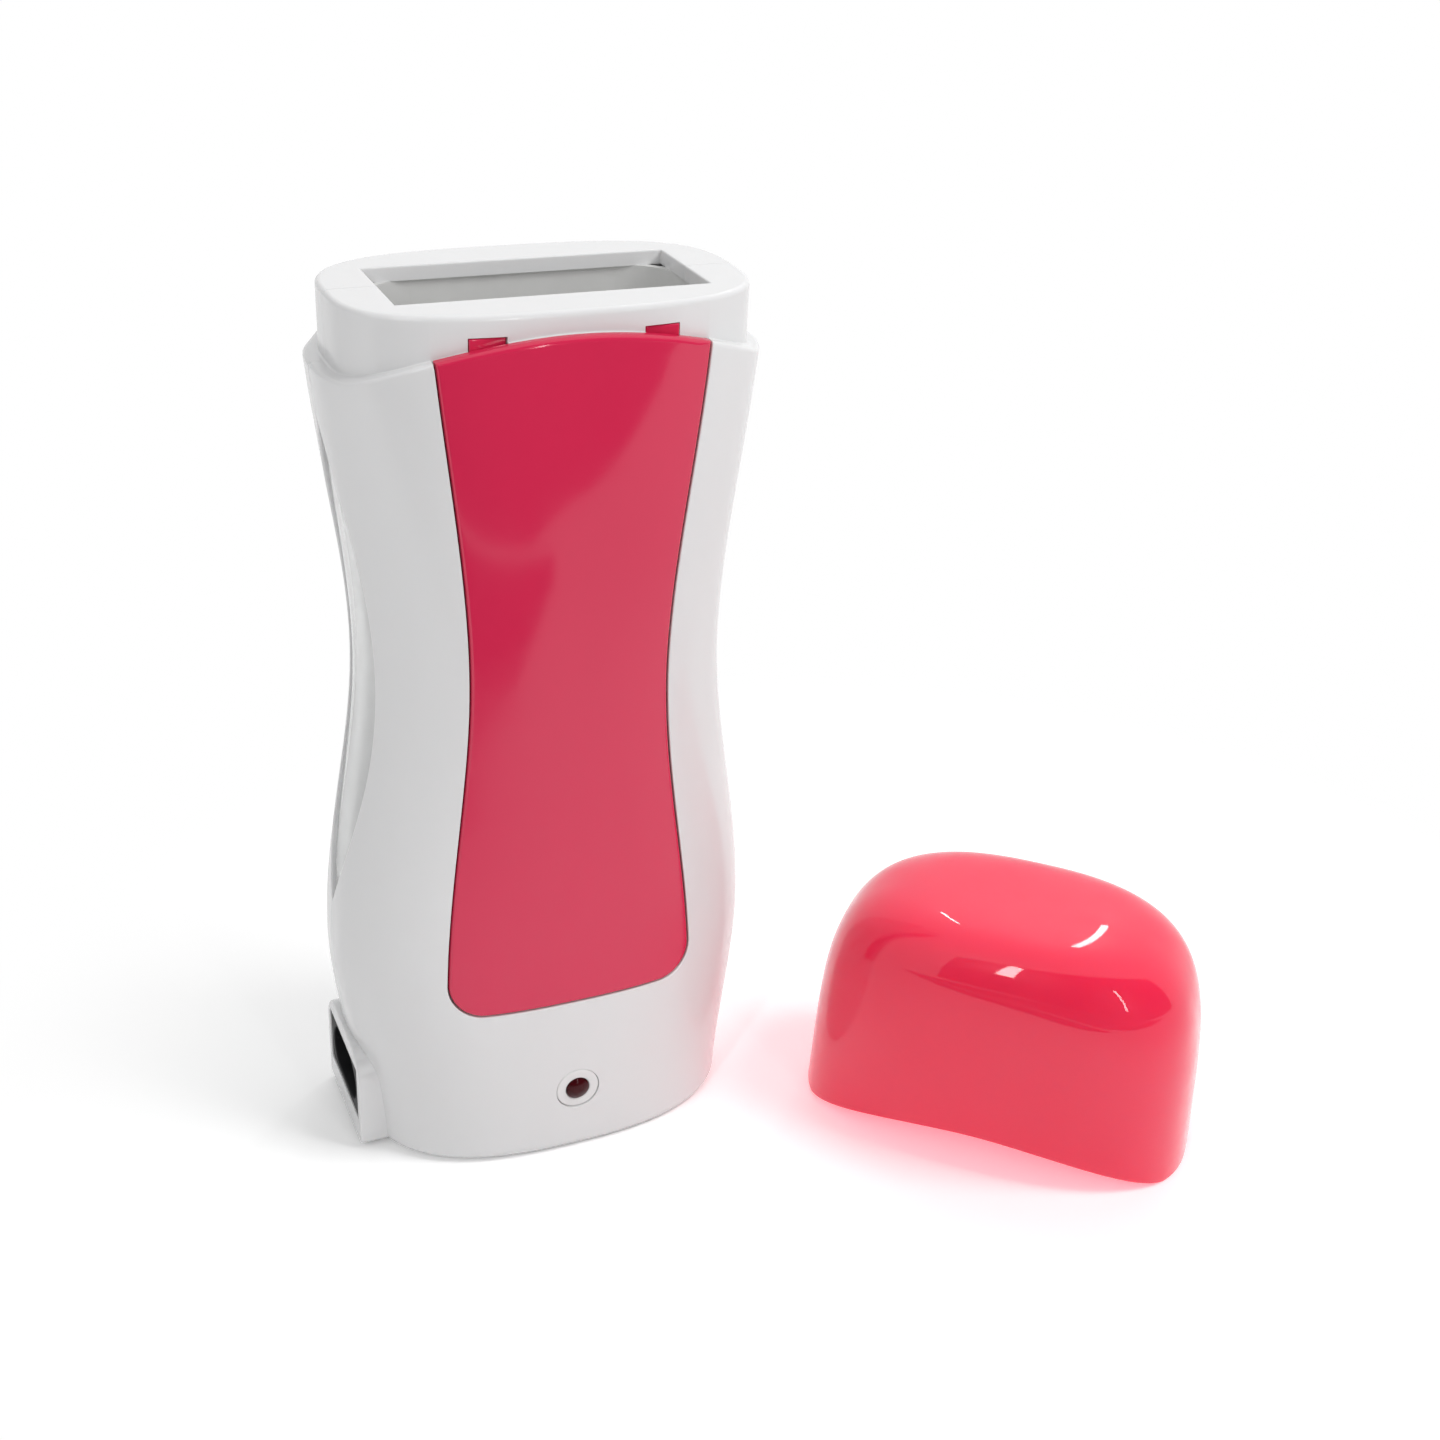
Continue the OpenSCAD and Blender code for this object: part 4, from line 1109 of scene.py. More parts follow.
            floor_y = form.face_y(floor_x, floor_h, inset, depth)
        else:
            floor_y = form.face_y(floor_x, floor_h) - sunk
            if level > form.shoulder_z - self.seat_end:
                skin = self.neck_skin
                floor_y = np.maximum(floor_y, bow(floor_x, *form.neck_half, form.neck_n) + skin)
                edge = [(x, max(y, form.neck_y(x) + skin), h) for x, y, h in edge]
        points = list(zip(floor_x, floor_y, floor_h)) + edge
        x, _, h = edge[-1]
        start_level = h
        for _ in range(CLOSE_ROUNDS):
            start_level = h - float(form.lift(x) * form.share(start_level))
        return points, float(self.table.from_x(x / (float(form.half_w(h)) - inset))), start_level

    # -- neck and mouth --

    def quarter(self, inner: bool) -> Grid:
        """Lays out the quarter with positive distances, from the base to the mouth.

        Args:
            inner: Whether to lay out the inside of the wall.

        Returns:
            Points as rows by columns by 3.
        """
        form = self.form
        low_kind = RowKind.LOWER if self.panel else RowKind.SIDE
        grid: list[Grid] = []
        line = Row(RowKind.SHOULDER, level=form.shoulder_z)
        shoulder = self.body_row(line, inner)
        ring = self.neck_ring(shoulder, form.wall if inner else 0.0)
        mouth = self.mouth_ring(self.body_row(line, False))
        for row in self.rows():
            if row.kind in (RowKind.BASE, RowKind.EDGE):
                grid.append(self.base_row(row, low_kind, inner))
            elif row.kind in (RowKind.LOWER, RowKind.SEAT, RowKind.CORNER, RowKind.SIDE):
                grid.append(self.body_row(row, inner))
            else:
                grid.append(self.crown_row(row, shoulder, ring, mouth, inner))
        return np.array(grid)

    def base_row(self, row: Row, kind: RowKind, inner: bool) -> Grid:
        """One row of the base or of its rounded edge.

        Args:
            row: Row to lay out.
            kind: Stretch whose columns the row takes.
            inner: Whether the row lies on the inside of the wall.

        Returns:
            The row's points.
        """
        form = self.form
        z = form.base_edge * (1 - math.cos(math.radians(row.t)))
        points = self.body_row(Row(kind, level=z), inner)
        if row.kind is RowKind.BASE:
            points[:, 0] = np.minimum(points[:, 0], points[-1, 0])
            points[:, 1] = self.form.parting
        return points

    def neck_ring(self, shoulder: Grid, thick: float) -> tuple[Grid, Grid]:
        """Unit points of the neck's outline for the columns of the shoulder.

        The columns keep their distance from the middle along the face, and spread evenly round
        the corner to the side.

        Args:
            shoulder: Points of the shoulder line.
            thick: Distance that the neck's outline is drawn in.

        Returns:
            The unit points.
        """
        x = shoulder[:, 0] / (self.form.neck_half[0] - thick)
        phi = self.neck_table.from_x(np.minimum(x, 1))
        end = float(self.neck_table.from_y(self.form.parting / (self.form.neck_half[1] - thick)))
        start = int(np.argmax(shoulder[:, 0] > self.turn_x))
        last = len(shoulder) - 1 - self.fillet_steps
        length = np.concatenate([[0], np.cumsum(np.linalg.norm(np.diff(shoulder[:, :2], axis=0), axis=1))])
        run = np.clip((length - length[start]) / (length[last] - length[start]), 0, 1)
        even = phi[start] + (end - phi[start]) * run
        return self.neck_table.at(np.where(np.arange(len(phi)) < start, phi, even))

    def column_phi(self, shoulder: Grid) -> Grid:
        """Share of the way to the side at which each column stands.

        Args:
            shoulder: Points of the shoulder line.

        Returns:
            The share of each column.
        """
        width, depth = (float(f(self.form.shoulder_z)) for f in (self.form.half_w, self.form.half_d))
        by_x = self.table.from_x(np.minimum(shoulder[:, 0] / width, 1))
        by_y = self.table.from_y(shoulder[:, 1] / depth)
        return np.where(shoulder[:, 1] < depth / 2, by_y, by_x)

    def mouth_ring(self, shoulder: Grid) -> Grid:
        """Point of the mouth's outline that each column runs to.

        Args:
            shoulder: Points of the shoulder line.

        Returns:
            Distances from the middle and from the parting plane.
        """
        w, d = self.form.mouth_half
        phi = self.column_phi(shoulder)
        corner = phi[np.argmin(np.abs(phi - w / (w + d)))]
        along = np.clip(phi / corner, 0, 1)
        down = np.clip((phi - corner) / (phi[-1] - corner), 0, 1)
        return np.stack([w * along, np.maximum(d * (1 - down), self.form.parting)], -1)

    def crown_row(self, row: Row, base: Grid, ring: tuple[Grid, Grid], mouth: Grid, inner: bool) -> Grid:
        """One row of the shoulder's edge, the ledge, the neck, its top or the mouth.

        Args:
            row: Row to lay out.
            base: Points of the shoulder line on that side of the wall.
            ring: Unit points of the neck's outline.
            mouth: Points of the mouth's outline.
            inner: Whether the row lies on the inside of the wall.

        Returns:
            The row's points.
        """
        form = self.form
        thick = form.wall if inner else 0.0
        hw, hd = form.neck_half[0] - thick, form.neck_half[1] - thick
        u, v = ring
        room = np.hypot(base[:, 0] - hw * u, base[:, 1] - hd * v)
        soft = np.clip(room / self.full_ledge, self.least_ledge, 1)
        a = math.radians(row.t)
        ceiling = form.height - (form.top_plate if inner else 0.0)

        def neck(out: Grid | float) -> Grid:
            """Outline of the neck, moved out by a distance."""
            return np.stack([(hw + out) * u, np.maximum((hd + out) * v, self.form.parting)], -1)

        def arch(points: Grid) -> Grid:
            """Height of the ledge at points."""
            return form.shoulder_z - (form.wall if inner else 0.0) + form.lift(points[:, 0])

        edges = (self.shoulder_edge, self.root_edge, form.neck_edge, self.mouth_edge)
        shoulder_edge, root_edge, neck_edge, mouth_edge = (0.0,) * len(edges) if inner else edges
        near, far = 1 - math.cos(a), 1 - math.sin(a)
        root = root_edge * soft
        foot = neck(root)
        reach = foot - base[:, :2]
        toward = reach / np.maximum(np.linalg.norm(reach, axis=1), self.tiny)[:, None]
        if row.kind is RowKind.SHOULDER:
            plan = base[:, :2] + toward * (shoulder_edge * soft * near)[:, None]
            z = base[:, 2] - shoulder_edge * far
        elif row.kind is RowKind.LEDGE:
            start = base[:, :2] + toward * (shoulder_edge * soft)[:, None]
            plan = start + (foot - start) * row.t
            z = base[:, 2] + (arch(foot) - base[:, 2]) * row.t if inner else arch(plan)
        elif row.kind is RowKind.ROOT:
            plan = neck(root * far)
            z = arch(foot) + root * near
        elif row.kind is RowKind.NECK:
            plan = neck(0.0)
            low = arch(foot) + root
            z = low + (ceiling - neck_edge - low) * row.t
        elif row.kind is RowKind.NECK_EDGE:
            plan = neck(-neck_edge * near)
            z = np.full(len(u), ceiling - neck_edge * far)
        elif row.kind is RowKind.TOP:
            start = neck(-neck_edge)
            plan = start + (self.grown(mouth, mouth_edge) - start) * row.t
            z = np.full(len(u), ceiling)
        else:
            plan = self.grown(mouth, mouth_edge * far)
            drop = form.top_plate if row.index and not inner else mouth_edge * near
            z = np.full(len(u), ceiling - drop)
        return np.column_stack([plan, z])

    def grown(self, mouth: Grid, out: float) -> Grid:
        """Moves the mouth's outline out all round.

        Args:
            mouth: Points of the outline.
            out: Distance to move it.

        Returns:
            The points of the larger outline.
        """
        w, d = self.form.mouth_half
        grown = mouth * np.array([(w + out) / w, (d + out) / d])
        grown[:, 1] = np.maximum(grown[:, 1], self.form.parting)
        return grown

    def build(self, name: str) -> Object:
        """Makes the half as one closed mesh.

        Args:
            name: Name of the object.

        Returns:
            The new object.
        """
        maker = MeshMaker()
        maker.slab(self.whole(self.quarter(False)), self.whole(self.quarter(True)))
        return maker.build(name)

    def whole(self, quarter: Grid) -> Grid:
        """Mirrors a quarter to a half, on the half's own side of the parting plane.

        Args:
            quarter: Points with positive distances.

        Returns:
            Points from the left edge to the right edge.
        """
        quarter = quarter * np.array([1, self.half.value, 1])
        left = quarter[:, :0:-1] * np.array([-1, 1, 1])
        return np.concatenate([left, quarter], 1)


# ---- Small tools and plates ----


def round_block(low: Sequence[float], high: Sequence[float], bevel: float) -> Object:
    """Makes a box with rounded edges.

    Args:
        low: Lowest corner in millimetres.
        high: Highest corner in millimetres.
        bevel: Radius of the edges.

    Returns:
        The new object.
    """
    mesh = bpy.data.meshes.new("block")
    work = bmesh.new()
    bmesh.ops.create_cube(work, size=1)
    low_v, high_v = Vector(low) * MM, Vector(high) * MM
    size = high_v - low_v
    for vert in work.verts:
        vert.co = Vector((vert.co[k] * size[k] for k in range(3))) + (low_v + high_v) / 2
    if bevel > 0:
        bmesh.ops.bevel(work, geom=work.edges[:], offset=bevel * MM, segments=3, profile=0.5, affect="EDGES")
    bmesh.ops.recalc_face_normals(work, faces=work.faces)
    work.to_mesh(mesh)
    work.free()
    return place_mesh(mesh)


def rod(start: Sequence[float], end: Sequence[float], diameter: float, steps: int = 64) -> Object:
    """Makes a closed cylinder between two points.

    Args:
        start: Middle of one end in millimetres.
        end: Middle of the other end.
        diameter: Diameter of the cylinder.
        steps: Divisions round it.

    Returns:
        The new object.
    """
    a, b = Vector(start), Vector(end)
    turn = (b - a).to_track_quat("Z", "Y")
    angles = np.linspace(0, 2 * np.pi, steps, endpoint=False)
    ring = [turn @ Vector((math.cos(t), math.sin(t), 0)) * (diameter / 2) for t in angles]
    return solid(np.array([[tuple(middle + p) for p in ring] for middle in (a, b)]), "rod")


def border(grid: Grid) -> Grid:
    """Points round a grid, in order, as one closed ring."""
    return np.concatenate([grid[0, :-1], grid[:-1, -1], grid[-1, :0:-1], grid[:0:-1, 0]])


def plate(front: Grid, rings: Sequence[Grid], back: Grid) -> MeshMaker:
    """Builds a closed plate from its face, the rings round its edge and its back.

    Args:
        front: Grid of the face.
        rings: Rings of points between the borders of the face and the back.
        back: Grid of the back, with as many points as the face.

    Returns:
        The mesh maker with the plate in it.
    """
    maker = MeshMaker()
    maker.grid(front)
    maker.grid(back, flip=True)
    maker.grid(np.stack([border(front), *rings, border(back)]), wrap=True)
    return maker


def outwards_y(points: Grid) -> Grid:
    """Turns points so that their +Z looks along -Y, out of the front of the heater."""
    return np.stack([points[..., 0], -points[..., 2], points[..., 1]], -1)


def outwards_x(points: Grid) -> Grid:
    """Turns points so that their +Z looks along -X, out of the side with the mains inlet."""
    return np.stack([-points[..., 2], -points[..., 0], points[..., 1]], -1)


# ---- Pieces of the heater ----


@dataclass(frozen=True)
class InletSizes:
    """Sizes of the mains inlet and of the boss round it."""

    middle: float = 11.2
    face: float = -37.0
    half: Flat = (10.0, 5.5)
    room: float = 0.15
    boss_wall: float = 1.7
    boss_radius: float = 6.0
    boss_bottom: float = 1.1
    boss_inner: float = -27.0
    boss_edge: float = 0.45
    set_back: float = 0.2
    length: float = 15.0
    recess: Point = (16.4, 8.8, 11.0)
    collar: Point = (1.5, 1.3, 1.6)
    tunnel: float = 10.0
    pin_pitch: float = 8.6
    pin: float = 2.4
    pin_tip: float = 1.4
    pin_tail: float = 3.0
    pin_edge: float = 0.45
    pin_pole: Flat = (0.05, 85.0)
    pin_room: float = 0.06
    pin_hole: Flat = (6.0, 17.0)
    corner: float = 0.3
    collar_corner: float = 0.5
    edge: float = 0.3
    bottom_edge: float = 0.5
    recess_flat: float = 0.02


@dataclass(frozen=True)
class LampSizes:
    """Sizes of the indicator lamp's ring and lens."""

    middle: float = 13.2
    bezel: float = 8.0
    collar: float = 10.0
    collar_thick: float = 1.0
    lens: float = 4.2
    dome: float = 0.7
    room: float = 0.15
    hole_end: float = 15.0
    outer_edge: float = 0.35
    inner_edge: float = 0.3
    edge_steps: int = 6
    tail: float = 0.6
    dome_steps: int = 14
    dome_end: float = 89.2


@dataclass(frozen=True)
class HookSizes:
    """Sizes and places of the two hooks that hold the panel at the neck."""

    middle: float = 13.8
    width: float = 5.6
    root: float = 2.4
    rise: float = 1.2
    room: float = 0.15
    thick: float = 1.28
    notch_edge: float = 0.12
    edge: float = 0.18
    heel_out: float = 1.2
    heel_height: float = 1.8
    heel_less: float = 0.01
    heel_sunk: float = 0.03
    heel_edge: float = 0.1
    clear: float = 4.0

    def line(self, form: HousingForm) -> float:
        """Height of the shoulder line at the hooks."""
        return form.shoulder_z + float(form.lift(self.middle))


@dataclass
class Housing:
    """The two halves of the housing, with the holes and seats of what they carry."""

    form: HousingForm
    leaf: Leaf
    panel: PanelOutline
    inlet: InletSizes
    lamp: LampSizes
    screws: tuple[Point, ...] = (
        (-26, 24, 14),
        (26, 24, 14),
        (-30.2, 138.6, 10),
        (30.2, 138.6, 10),
    )
    screw_seat: float = 5.2
    shank_hole: float = 3.2
    hook: HookSizes = HookSizes()
    past: float = 40.0
    boss_corner: float = 0.8
    boss_edge_steps: int = 5
    mouth_corner: float = 0.25
    mouth_edge: float = 0.2
    inlet_cut: Point = (-40.0, -20.0, 0.3)

    def boss(self, half: Half) -> Object:
        """Makes one half of the raised boss round the inlet.

        Args:
            half: Half of the housing.

        Returns:
            The boss as a closed piece.
        """
        size = self.inlet
        inner_half = (size.half[0] + size.room, size.half[1] + size.room)
        out_half = size.half[0] + size.boss_wall
        top = size.middle + size.half[1] + 2 * size.boss_wall
        mid = (top + size.boss_bottom) / 2
        outer = round_box((out_half, (top - size.boss_bottom) / 2), (self.boss_corner, size.boss_radius))
        inner = round_box(inner_half, (self.mouth_corner, self.mouth_corner))
        count = len(outer) // 2
        outer_half = [(0.0, outer[0][1] + mid), *[(x, z + mid) for x, z in outer[:count]], (0.0, top)]
        inner_top = size.middle + inner_half[1]
        inner_ring = [(x, z + size.middle) for x, z in inner[:count]]
        inner_half_ring = [(0.0, inner_ring[0][1]), *inner_ring, (0.0, inner_top)]
        rings = []
        for p, q in zip(outer_half, inner_half_ring):
            toward = np.array(q) - np.array(p)
            span = float(np.linalg.norm(toward))
            edge, mouth = size.boss_edge, self.mouth_edge
            profile = [
                (size.boss_inner, 0.0),
                *arc(size.face + edge, edge, edge, 270, 180, self.boss_edge_steps),
                *arc(size.face + mouth, span - mouth, mouth, 180, 90, 3),
                (size.boss_inner, span),
            ]
            points = []
            for x, run in profile:
                y, z = np.array(p) + toward * run / span
                points.append((x, half.value * max(float(y), self.form.parting), float(z)))
            rings.append(points)
        return solid(np.array(rings), "boss")

    def build_half(self, half: Half) -> Object:
        """Makes one half of the housing with its holes.

        Args:
            half: Half of the housing.

        Returns:
            The finished half.
        """
        is_front = half is Half.FRONT
        depth = self.form.front_wall if is_front else self.form.wall
        shell = Shell(half, self.form, self.leaf, self.panel if is_front else None, depth)
        obj = shell.build(f"{half.name.lower()}_shell_visual")
        size = self.inlet
        start, end, more = self.inlet_cut
        w, h = (v + size.room + more for v in size.half)
        carve(obj, round_block((start, -w, size.middle - h), (end, w, size.middle + h), 0))
        carve(obj, self.boss(half), "UNION")
        if is_front:
            radius = self.lamp.bezel + self.lamp.room
            start, end = (0, -self.past, self.lamp.middle), (0, -self.lamp.hole_end, self.lamp.middle)
            carve(obj, rod(start, end, radius, 96))
            for hand in Hand:
                carve(obj, self.notch(hand))
        else:
            for x, z, seat in self.screws:
                carve(obj, rod((x, -1, z), (x, self.past, z), self.shank_hole))
                carve(obj, rod((x, seat, z), (x, self.past, z), self.screw_seat))
        steady_normals(obj)
        return obj

    def notch(self, hand: Hand) -> Object:
        """Makes the tool for the notch of one of the panel's hooks.

        Args:
            hand: Side of the notch.

        Returns:
            The tool.
        """
        hook = self.hook
        face, line = self.form.neck_y(hook.middle), hook.line(self.form)
        middle, half = hand.value * hook.middle, hook.width / 2 + hook.room
        return round_block(
            (middle - half, -face - hook.clear, line - hook.root - hook.room),
            (middle + half, -face + hook.thick + 2 * hook.room, line + hook.rise + hook.room),
            hook.notch_edge,
        )


@dataclass
class FrontPanel:
    """Coloured front panel with its rounded edge and the hooks that hold it at the top."""

    form: HousingForm
    outline: PanelOutline
    edge: float = 0.45
    lip: float = 0.9
    half_columns: int = 36
    row_step: float = 1.5
    corner_steps: int = 10
    edge_steps: int = 5
    soft_share: float = 0.08
    drop_share: float = 0.1
    hook: HookSizes = HookSizes()

    def shares(self) -> Grid:
        """Shares of the half width at which the columns stand."""
        return np.linspace(-1, 1, 2 * self.half_columns + 1)

    def soft(self) -> Grid:
        """Share of the lip's extra rounding in each column, which ends at the corners."""
        return np.clip((1 - np.abs(self.shares())) / self.soft_share, 0, 1)

    def plan(self, inset: float, drop: float) -> Grid:
        """Points of the panel's outline and of what lies in it, seen from the front.

        Args:
            inset: Distance inside the outline at the sides and the bottom.
            drop: Distance below the top edge.

        Returns:
            Distances from the middle and heights, as rows by columns by 2.
        """
        share = self.shares()
        rows = []
        xs, zs = self.outline.corner_nodes(-inset, self.form, self.corner_steps)
        for x, z in zip(xs, zs):
            rows.append(np.stack([share * x, np.full_like(share, z)], -1))
        low = self.outline.bottom + self.outline.corner
        count = round((self.form.shoulder_z - low) / self.row_step)
        drops = (self.edge + (self.lip - self.edge) * self.soft()) * drop
        for k in range(1, count + 1):
            level = low + (self.form.shoulder_z - low) * k / count
            end, _ = self.outline.side_nodes(-inset, np.array(level), self.form)
            x = share * float(end)
            lowered = drops * np.clip(1 - (1 - k / count) / self.drop_share, 0, 1)
            rows.append(np.stack([x, level + self.form.lift(x) * self.form.share(level) - lowered], -1))
        return np.array(rows)

    def on_face(self, plan: Grid, depth: Grid | float) -> Grid:
        """Places points of the plan at a depth behind the face of the housing."""
        x, h = plan[..., 0], plan[..., 1]
        return np.stack([x, -(self.form.face_y(x, h) - depth), h], -1)

    def build(self) -> Object:
        """Makes the panel.

        Returns:
            The finished panel.
        """
        front = self.on_face(self.plan(self.edge, 1), 0.0)
        rings = []
        ring_size = self.ring_radius(front)
        for a in np.linspace(0, np.pi / 2, self.edge_steps + 1)[1:]:
            away = 1 - math.sin(a)
            plan = border(self.plan(self.edge * away, away))
            rings.append(self.on_face(plan, ring_size * (1 - math.cos(a))))
        back = self.on_face(self.plan(0, 0), self.outline.thick)
        obj = plate(front, rings, back).build("front_panel_visual")
        for hand in Hand:
            for block in self.hook_blocks(hand):
                carve(obj, block, "UNION")
        steady_normals(obj)
        return obj

    def ring_radius(self, front: Grid) -> Grid:
        """Radius of the edge, which is larger along the top.

        Args:
            front: Grid of the panel's face.

        Returns:
            The radius at each point of the border.
        """
        radius = np.full(front.shape[:2], self.edge)
        radius[-1] += (self.lip - self.edge) * self.soft()
        return border(radius[..., None])[:, 0]

    def hook_blocks(self, hand: Hand) -> list[Object]:
        """Makes the two blocks of one hook.

        Args:
            hand: Side of the hook.

        Returns:
            The tongue in the neck and the heel that joins it to the panel.
        """
        hook = self.hook
        middle, half, less = hand.value * hook.middle, hook.width / 2, hook.heel_less
        low = hook.line(self.form) - hook.root
        face = -self.form.neck_y(hook.middle)
        back = face + hook.room + hook.thick
        tongue = ((middle - half, face + hook.room, low), (middle + half, back, low + hook.root + hook.rise))
        heel = (
            (middle - half + less, face - hook.heel_out, low + less),
            (middle + half - less, back - hook.heel_sunk, low + hook.heel_height),
        )
        return [round_block(*tongue, hook.edge), round_block(*heel, hook.heel_edge)]


@dataclass
class Pane:
    """Clear window pane in one side, with the flange that holds it behind the wall."""

    form: HousingForm
    leaf: Leaf
    hand: Hand
    sunk: float = 0.7
    edge: float = 0.35
    room: float = 0.15
    flange_gap: float = 0.25
    flange_thick: float = 0.6
    flange_lap: float = 1.0
    tip_room: float = 6.0
    tip_slope: float = 2.2
    tip: float = 0.04
    face_tip: float = 0.03
    edge_steps: int = 4
    rows: int = 110
    columns: int = 16

    def plan(self, half: float, reach: float, tip: float) -> Grid:
        """Points of a leaf, seen from the side.

        Args:
            half: Half width at the middle.
            reach: Distance from the middle to a tip.
            tip: Half width at the tips.

        Returns:
            Distances from the parting plane and heights, as rows by columns by 2.
        """
        t = np.sin(np.linspace(-np.pi / 2, np.pi / 2, self.rows + 1))
        width = np.maximum(half * (1 - np.abs(t) ** self.leaf.n), tip)
        share = np.linspace(-1, 1, self.columns + 1)
        z = self.leaf.middle + t * reach
        return np.stack([width[:, None] * share, np.repeat(z[:, None], self.columns + 1, 1)], -1)

    def on_side(self, plan: Grid, depth: float) -> Grid:
        """Places points of the plan at a depth below the side of the housing."""
        x = self.form.side_x(plan[..., 0], plan[..., 1], depth)
        return np.stack([x * self.hand.value, plan[..., 0], plan[..., 1]], -1)

    def in_cavity(self, plan: Grid, room: float) -> Grid:
        """Places points of the plan inside the wall, with room to it."""
        x = self.form.cavity_x(plan[..., 0], plan[..., 1], self.form.front_wall, room)
        return np.stack([x * self.hand.value, plan[..., 0], plan[..., 1]], -1)

    def build(self) -> Object:
        """Makes the pane.

        Returns:
            The finished pane.
        """
        half, reach = self.leaf.half - self.room, self.leaf.reach - self.tip_room * self.room
        rings = []
        for a in np.linspace(0, np.pi / 2, self.edge_steps + 1)[1:]:
            away = self.edge * (1 - math.sin(a))
            plan = border(self.plan(half - away, reach - self.tip_slope * away, self.tip))
            rings.append(self.on_side(plan, self.sunk + self.edge * (1 - math.cos(a))))
        plug = border(self.plan(half, reach, self.tip))
        wide = self.plan(self.leaf.half + self.flange_lap, self.leaf.reach + self.room, self.flange_lap)
        rings.append(self.in_cavity(plug, self.flange_gap))
        rings.append(self.in_cavity(border(wide), self.flange_gap))
        face = self.plan(half - self.edge, reach - self.tip_slope * self.edge, self.face_tip)
        back = self.in_cavity(wide, self.flange_gap + self.flange_thick)
        name = f"window_{self.hand.name.lower()}_visual"
        obj = plate(self.on_side(face, self.sunk), rings, back).build(name, 45)
        steady_normals(obj)
        return obj


@dataclass
class Cap:
    """Hollow cap that goes over the neck, standing beside the heater."""

    form: HousingForm
    place: Flat = (79.8, -39.4)
    turn: float = -43.0
    height: float = 46.0
    wall: float = 2.0
    gap: float = 0.3
    crown: Flat = (4.8, 6.0)
    draft: Flat = (0.045, 0.02)
    draw: float = 0.4
    straight: float = 12.0
    rim: float = 0.55
    steps: int = 192
    rows: int = 60
    low_rows: int = 12
    rim_steps: int = 5
    pole_share: float = 0.993
    rim_share: float = 0.45

    def skin(self, half: Flat, height: float, n: float, straight: float, lift: float) -> Grid:
        """Rings of the cap's outer or inner skin, from the rim to the pole.

        Args:
            half: Half sizes at the rim.
            height: Height of the skin.
            n: Fullness of the corners.
            straight: Height where the draft starts.
            lift: Height of the first ring above the rim.

        Returns:
            Points as rings by steps by 3.
        """
        angle = np.linspace(0, 2 * np.pi, self.steps, endpoint=False)
        u = np.sign(np.cos(angle)) * np.abs(np.cos(angle)) ** (2 / n)
        v = np.sign(np.sin(angle)) * np.abs(np.sin(angle)) ** (2 / n)
        a = np.linspace(0, 1, self.rows + 1)
        levels = height * np.sin(np.pi / 2 * a * self.pole_share) ** self.draw
        levels = np.concatenate([np.linspace(0, levels[1], self.low_rows, endpoint=False), levels[1:]])
        rings = []
        for level in levels:
            z = np.full(self.steps, level)
            for _ in range(ROUNDS):
                t = np.clip(z / height, 0, 1)
                drawn = np.maximum(z - straight, 0)
                w, d = (
                    (size - draft * drawn) * (1 - t**crown) ** (1 / crown)
                    for size, draft, crown in zip(half, self.draft, self.crown)
                )
                foot = self.form.lift(w * u) + lift
                z = foot + (height - foot) * level / height
            rings.append(np.stack([w * u, d * v, z], -1))
        return np.array(rings)

    def build(self) -> Object:
        """Makes the cap.

        Returns:
            The finished cap.
        """
        form = self.form
        outer = self.skin(form.shoulder_half, self.height, form.n, 0.0, self.rim)
        inner_half = (form.neck_half[0] + self.gap, form.neck_half[1] + self.gap)
        inner = self.skin(inner_half, self.height - self.wall, form.neck_n, self.straight, self.rim)
        across = inner[0, :, :2] - outer[0, :, :2]
        span = np.linalg.norm(across, axis=1, keepdims=True)
        soft = across / span * np.minimum(self.rim, span * self.rim_share)
        rise = np.linspace(0, np.pi / 2, self.rim_steps + 1)[1:]
        rim = []
        for foot, side, angles in ((outer[0], 1, rise), (inner[0], -1, rise[::-1])):
            for a in angles:
                plan = foot[:, :2] + side * soft * (1 - math.cos(a))
                rim.append(np.column_stack([plan, foot[:, 2] - self.rim * math.sin(a)]))
        rings = np.concatenate([outer[::-1], np.array(rim), inner])
        turn = math.radians(self.turn)
        x = rings[..., 0] * math.cos(turn) - rings[..., 1] * math.sin(turn) + self.place[0]
        y = rings[..., 0] * math.sin(turn) + rings[..., 1] * math.cos(turn) + self.place[1]
        return solid(np.stack([x, y, rings[..., 2]], -1), "cap_visual", 60)


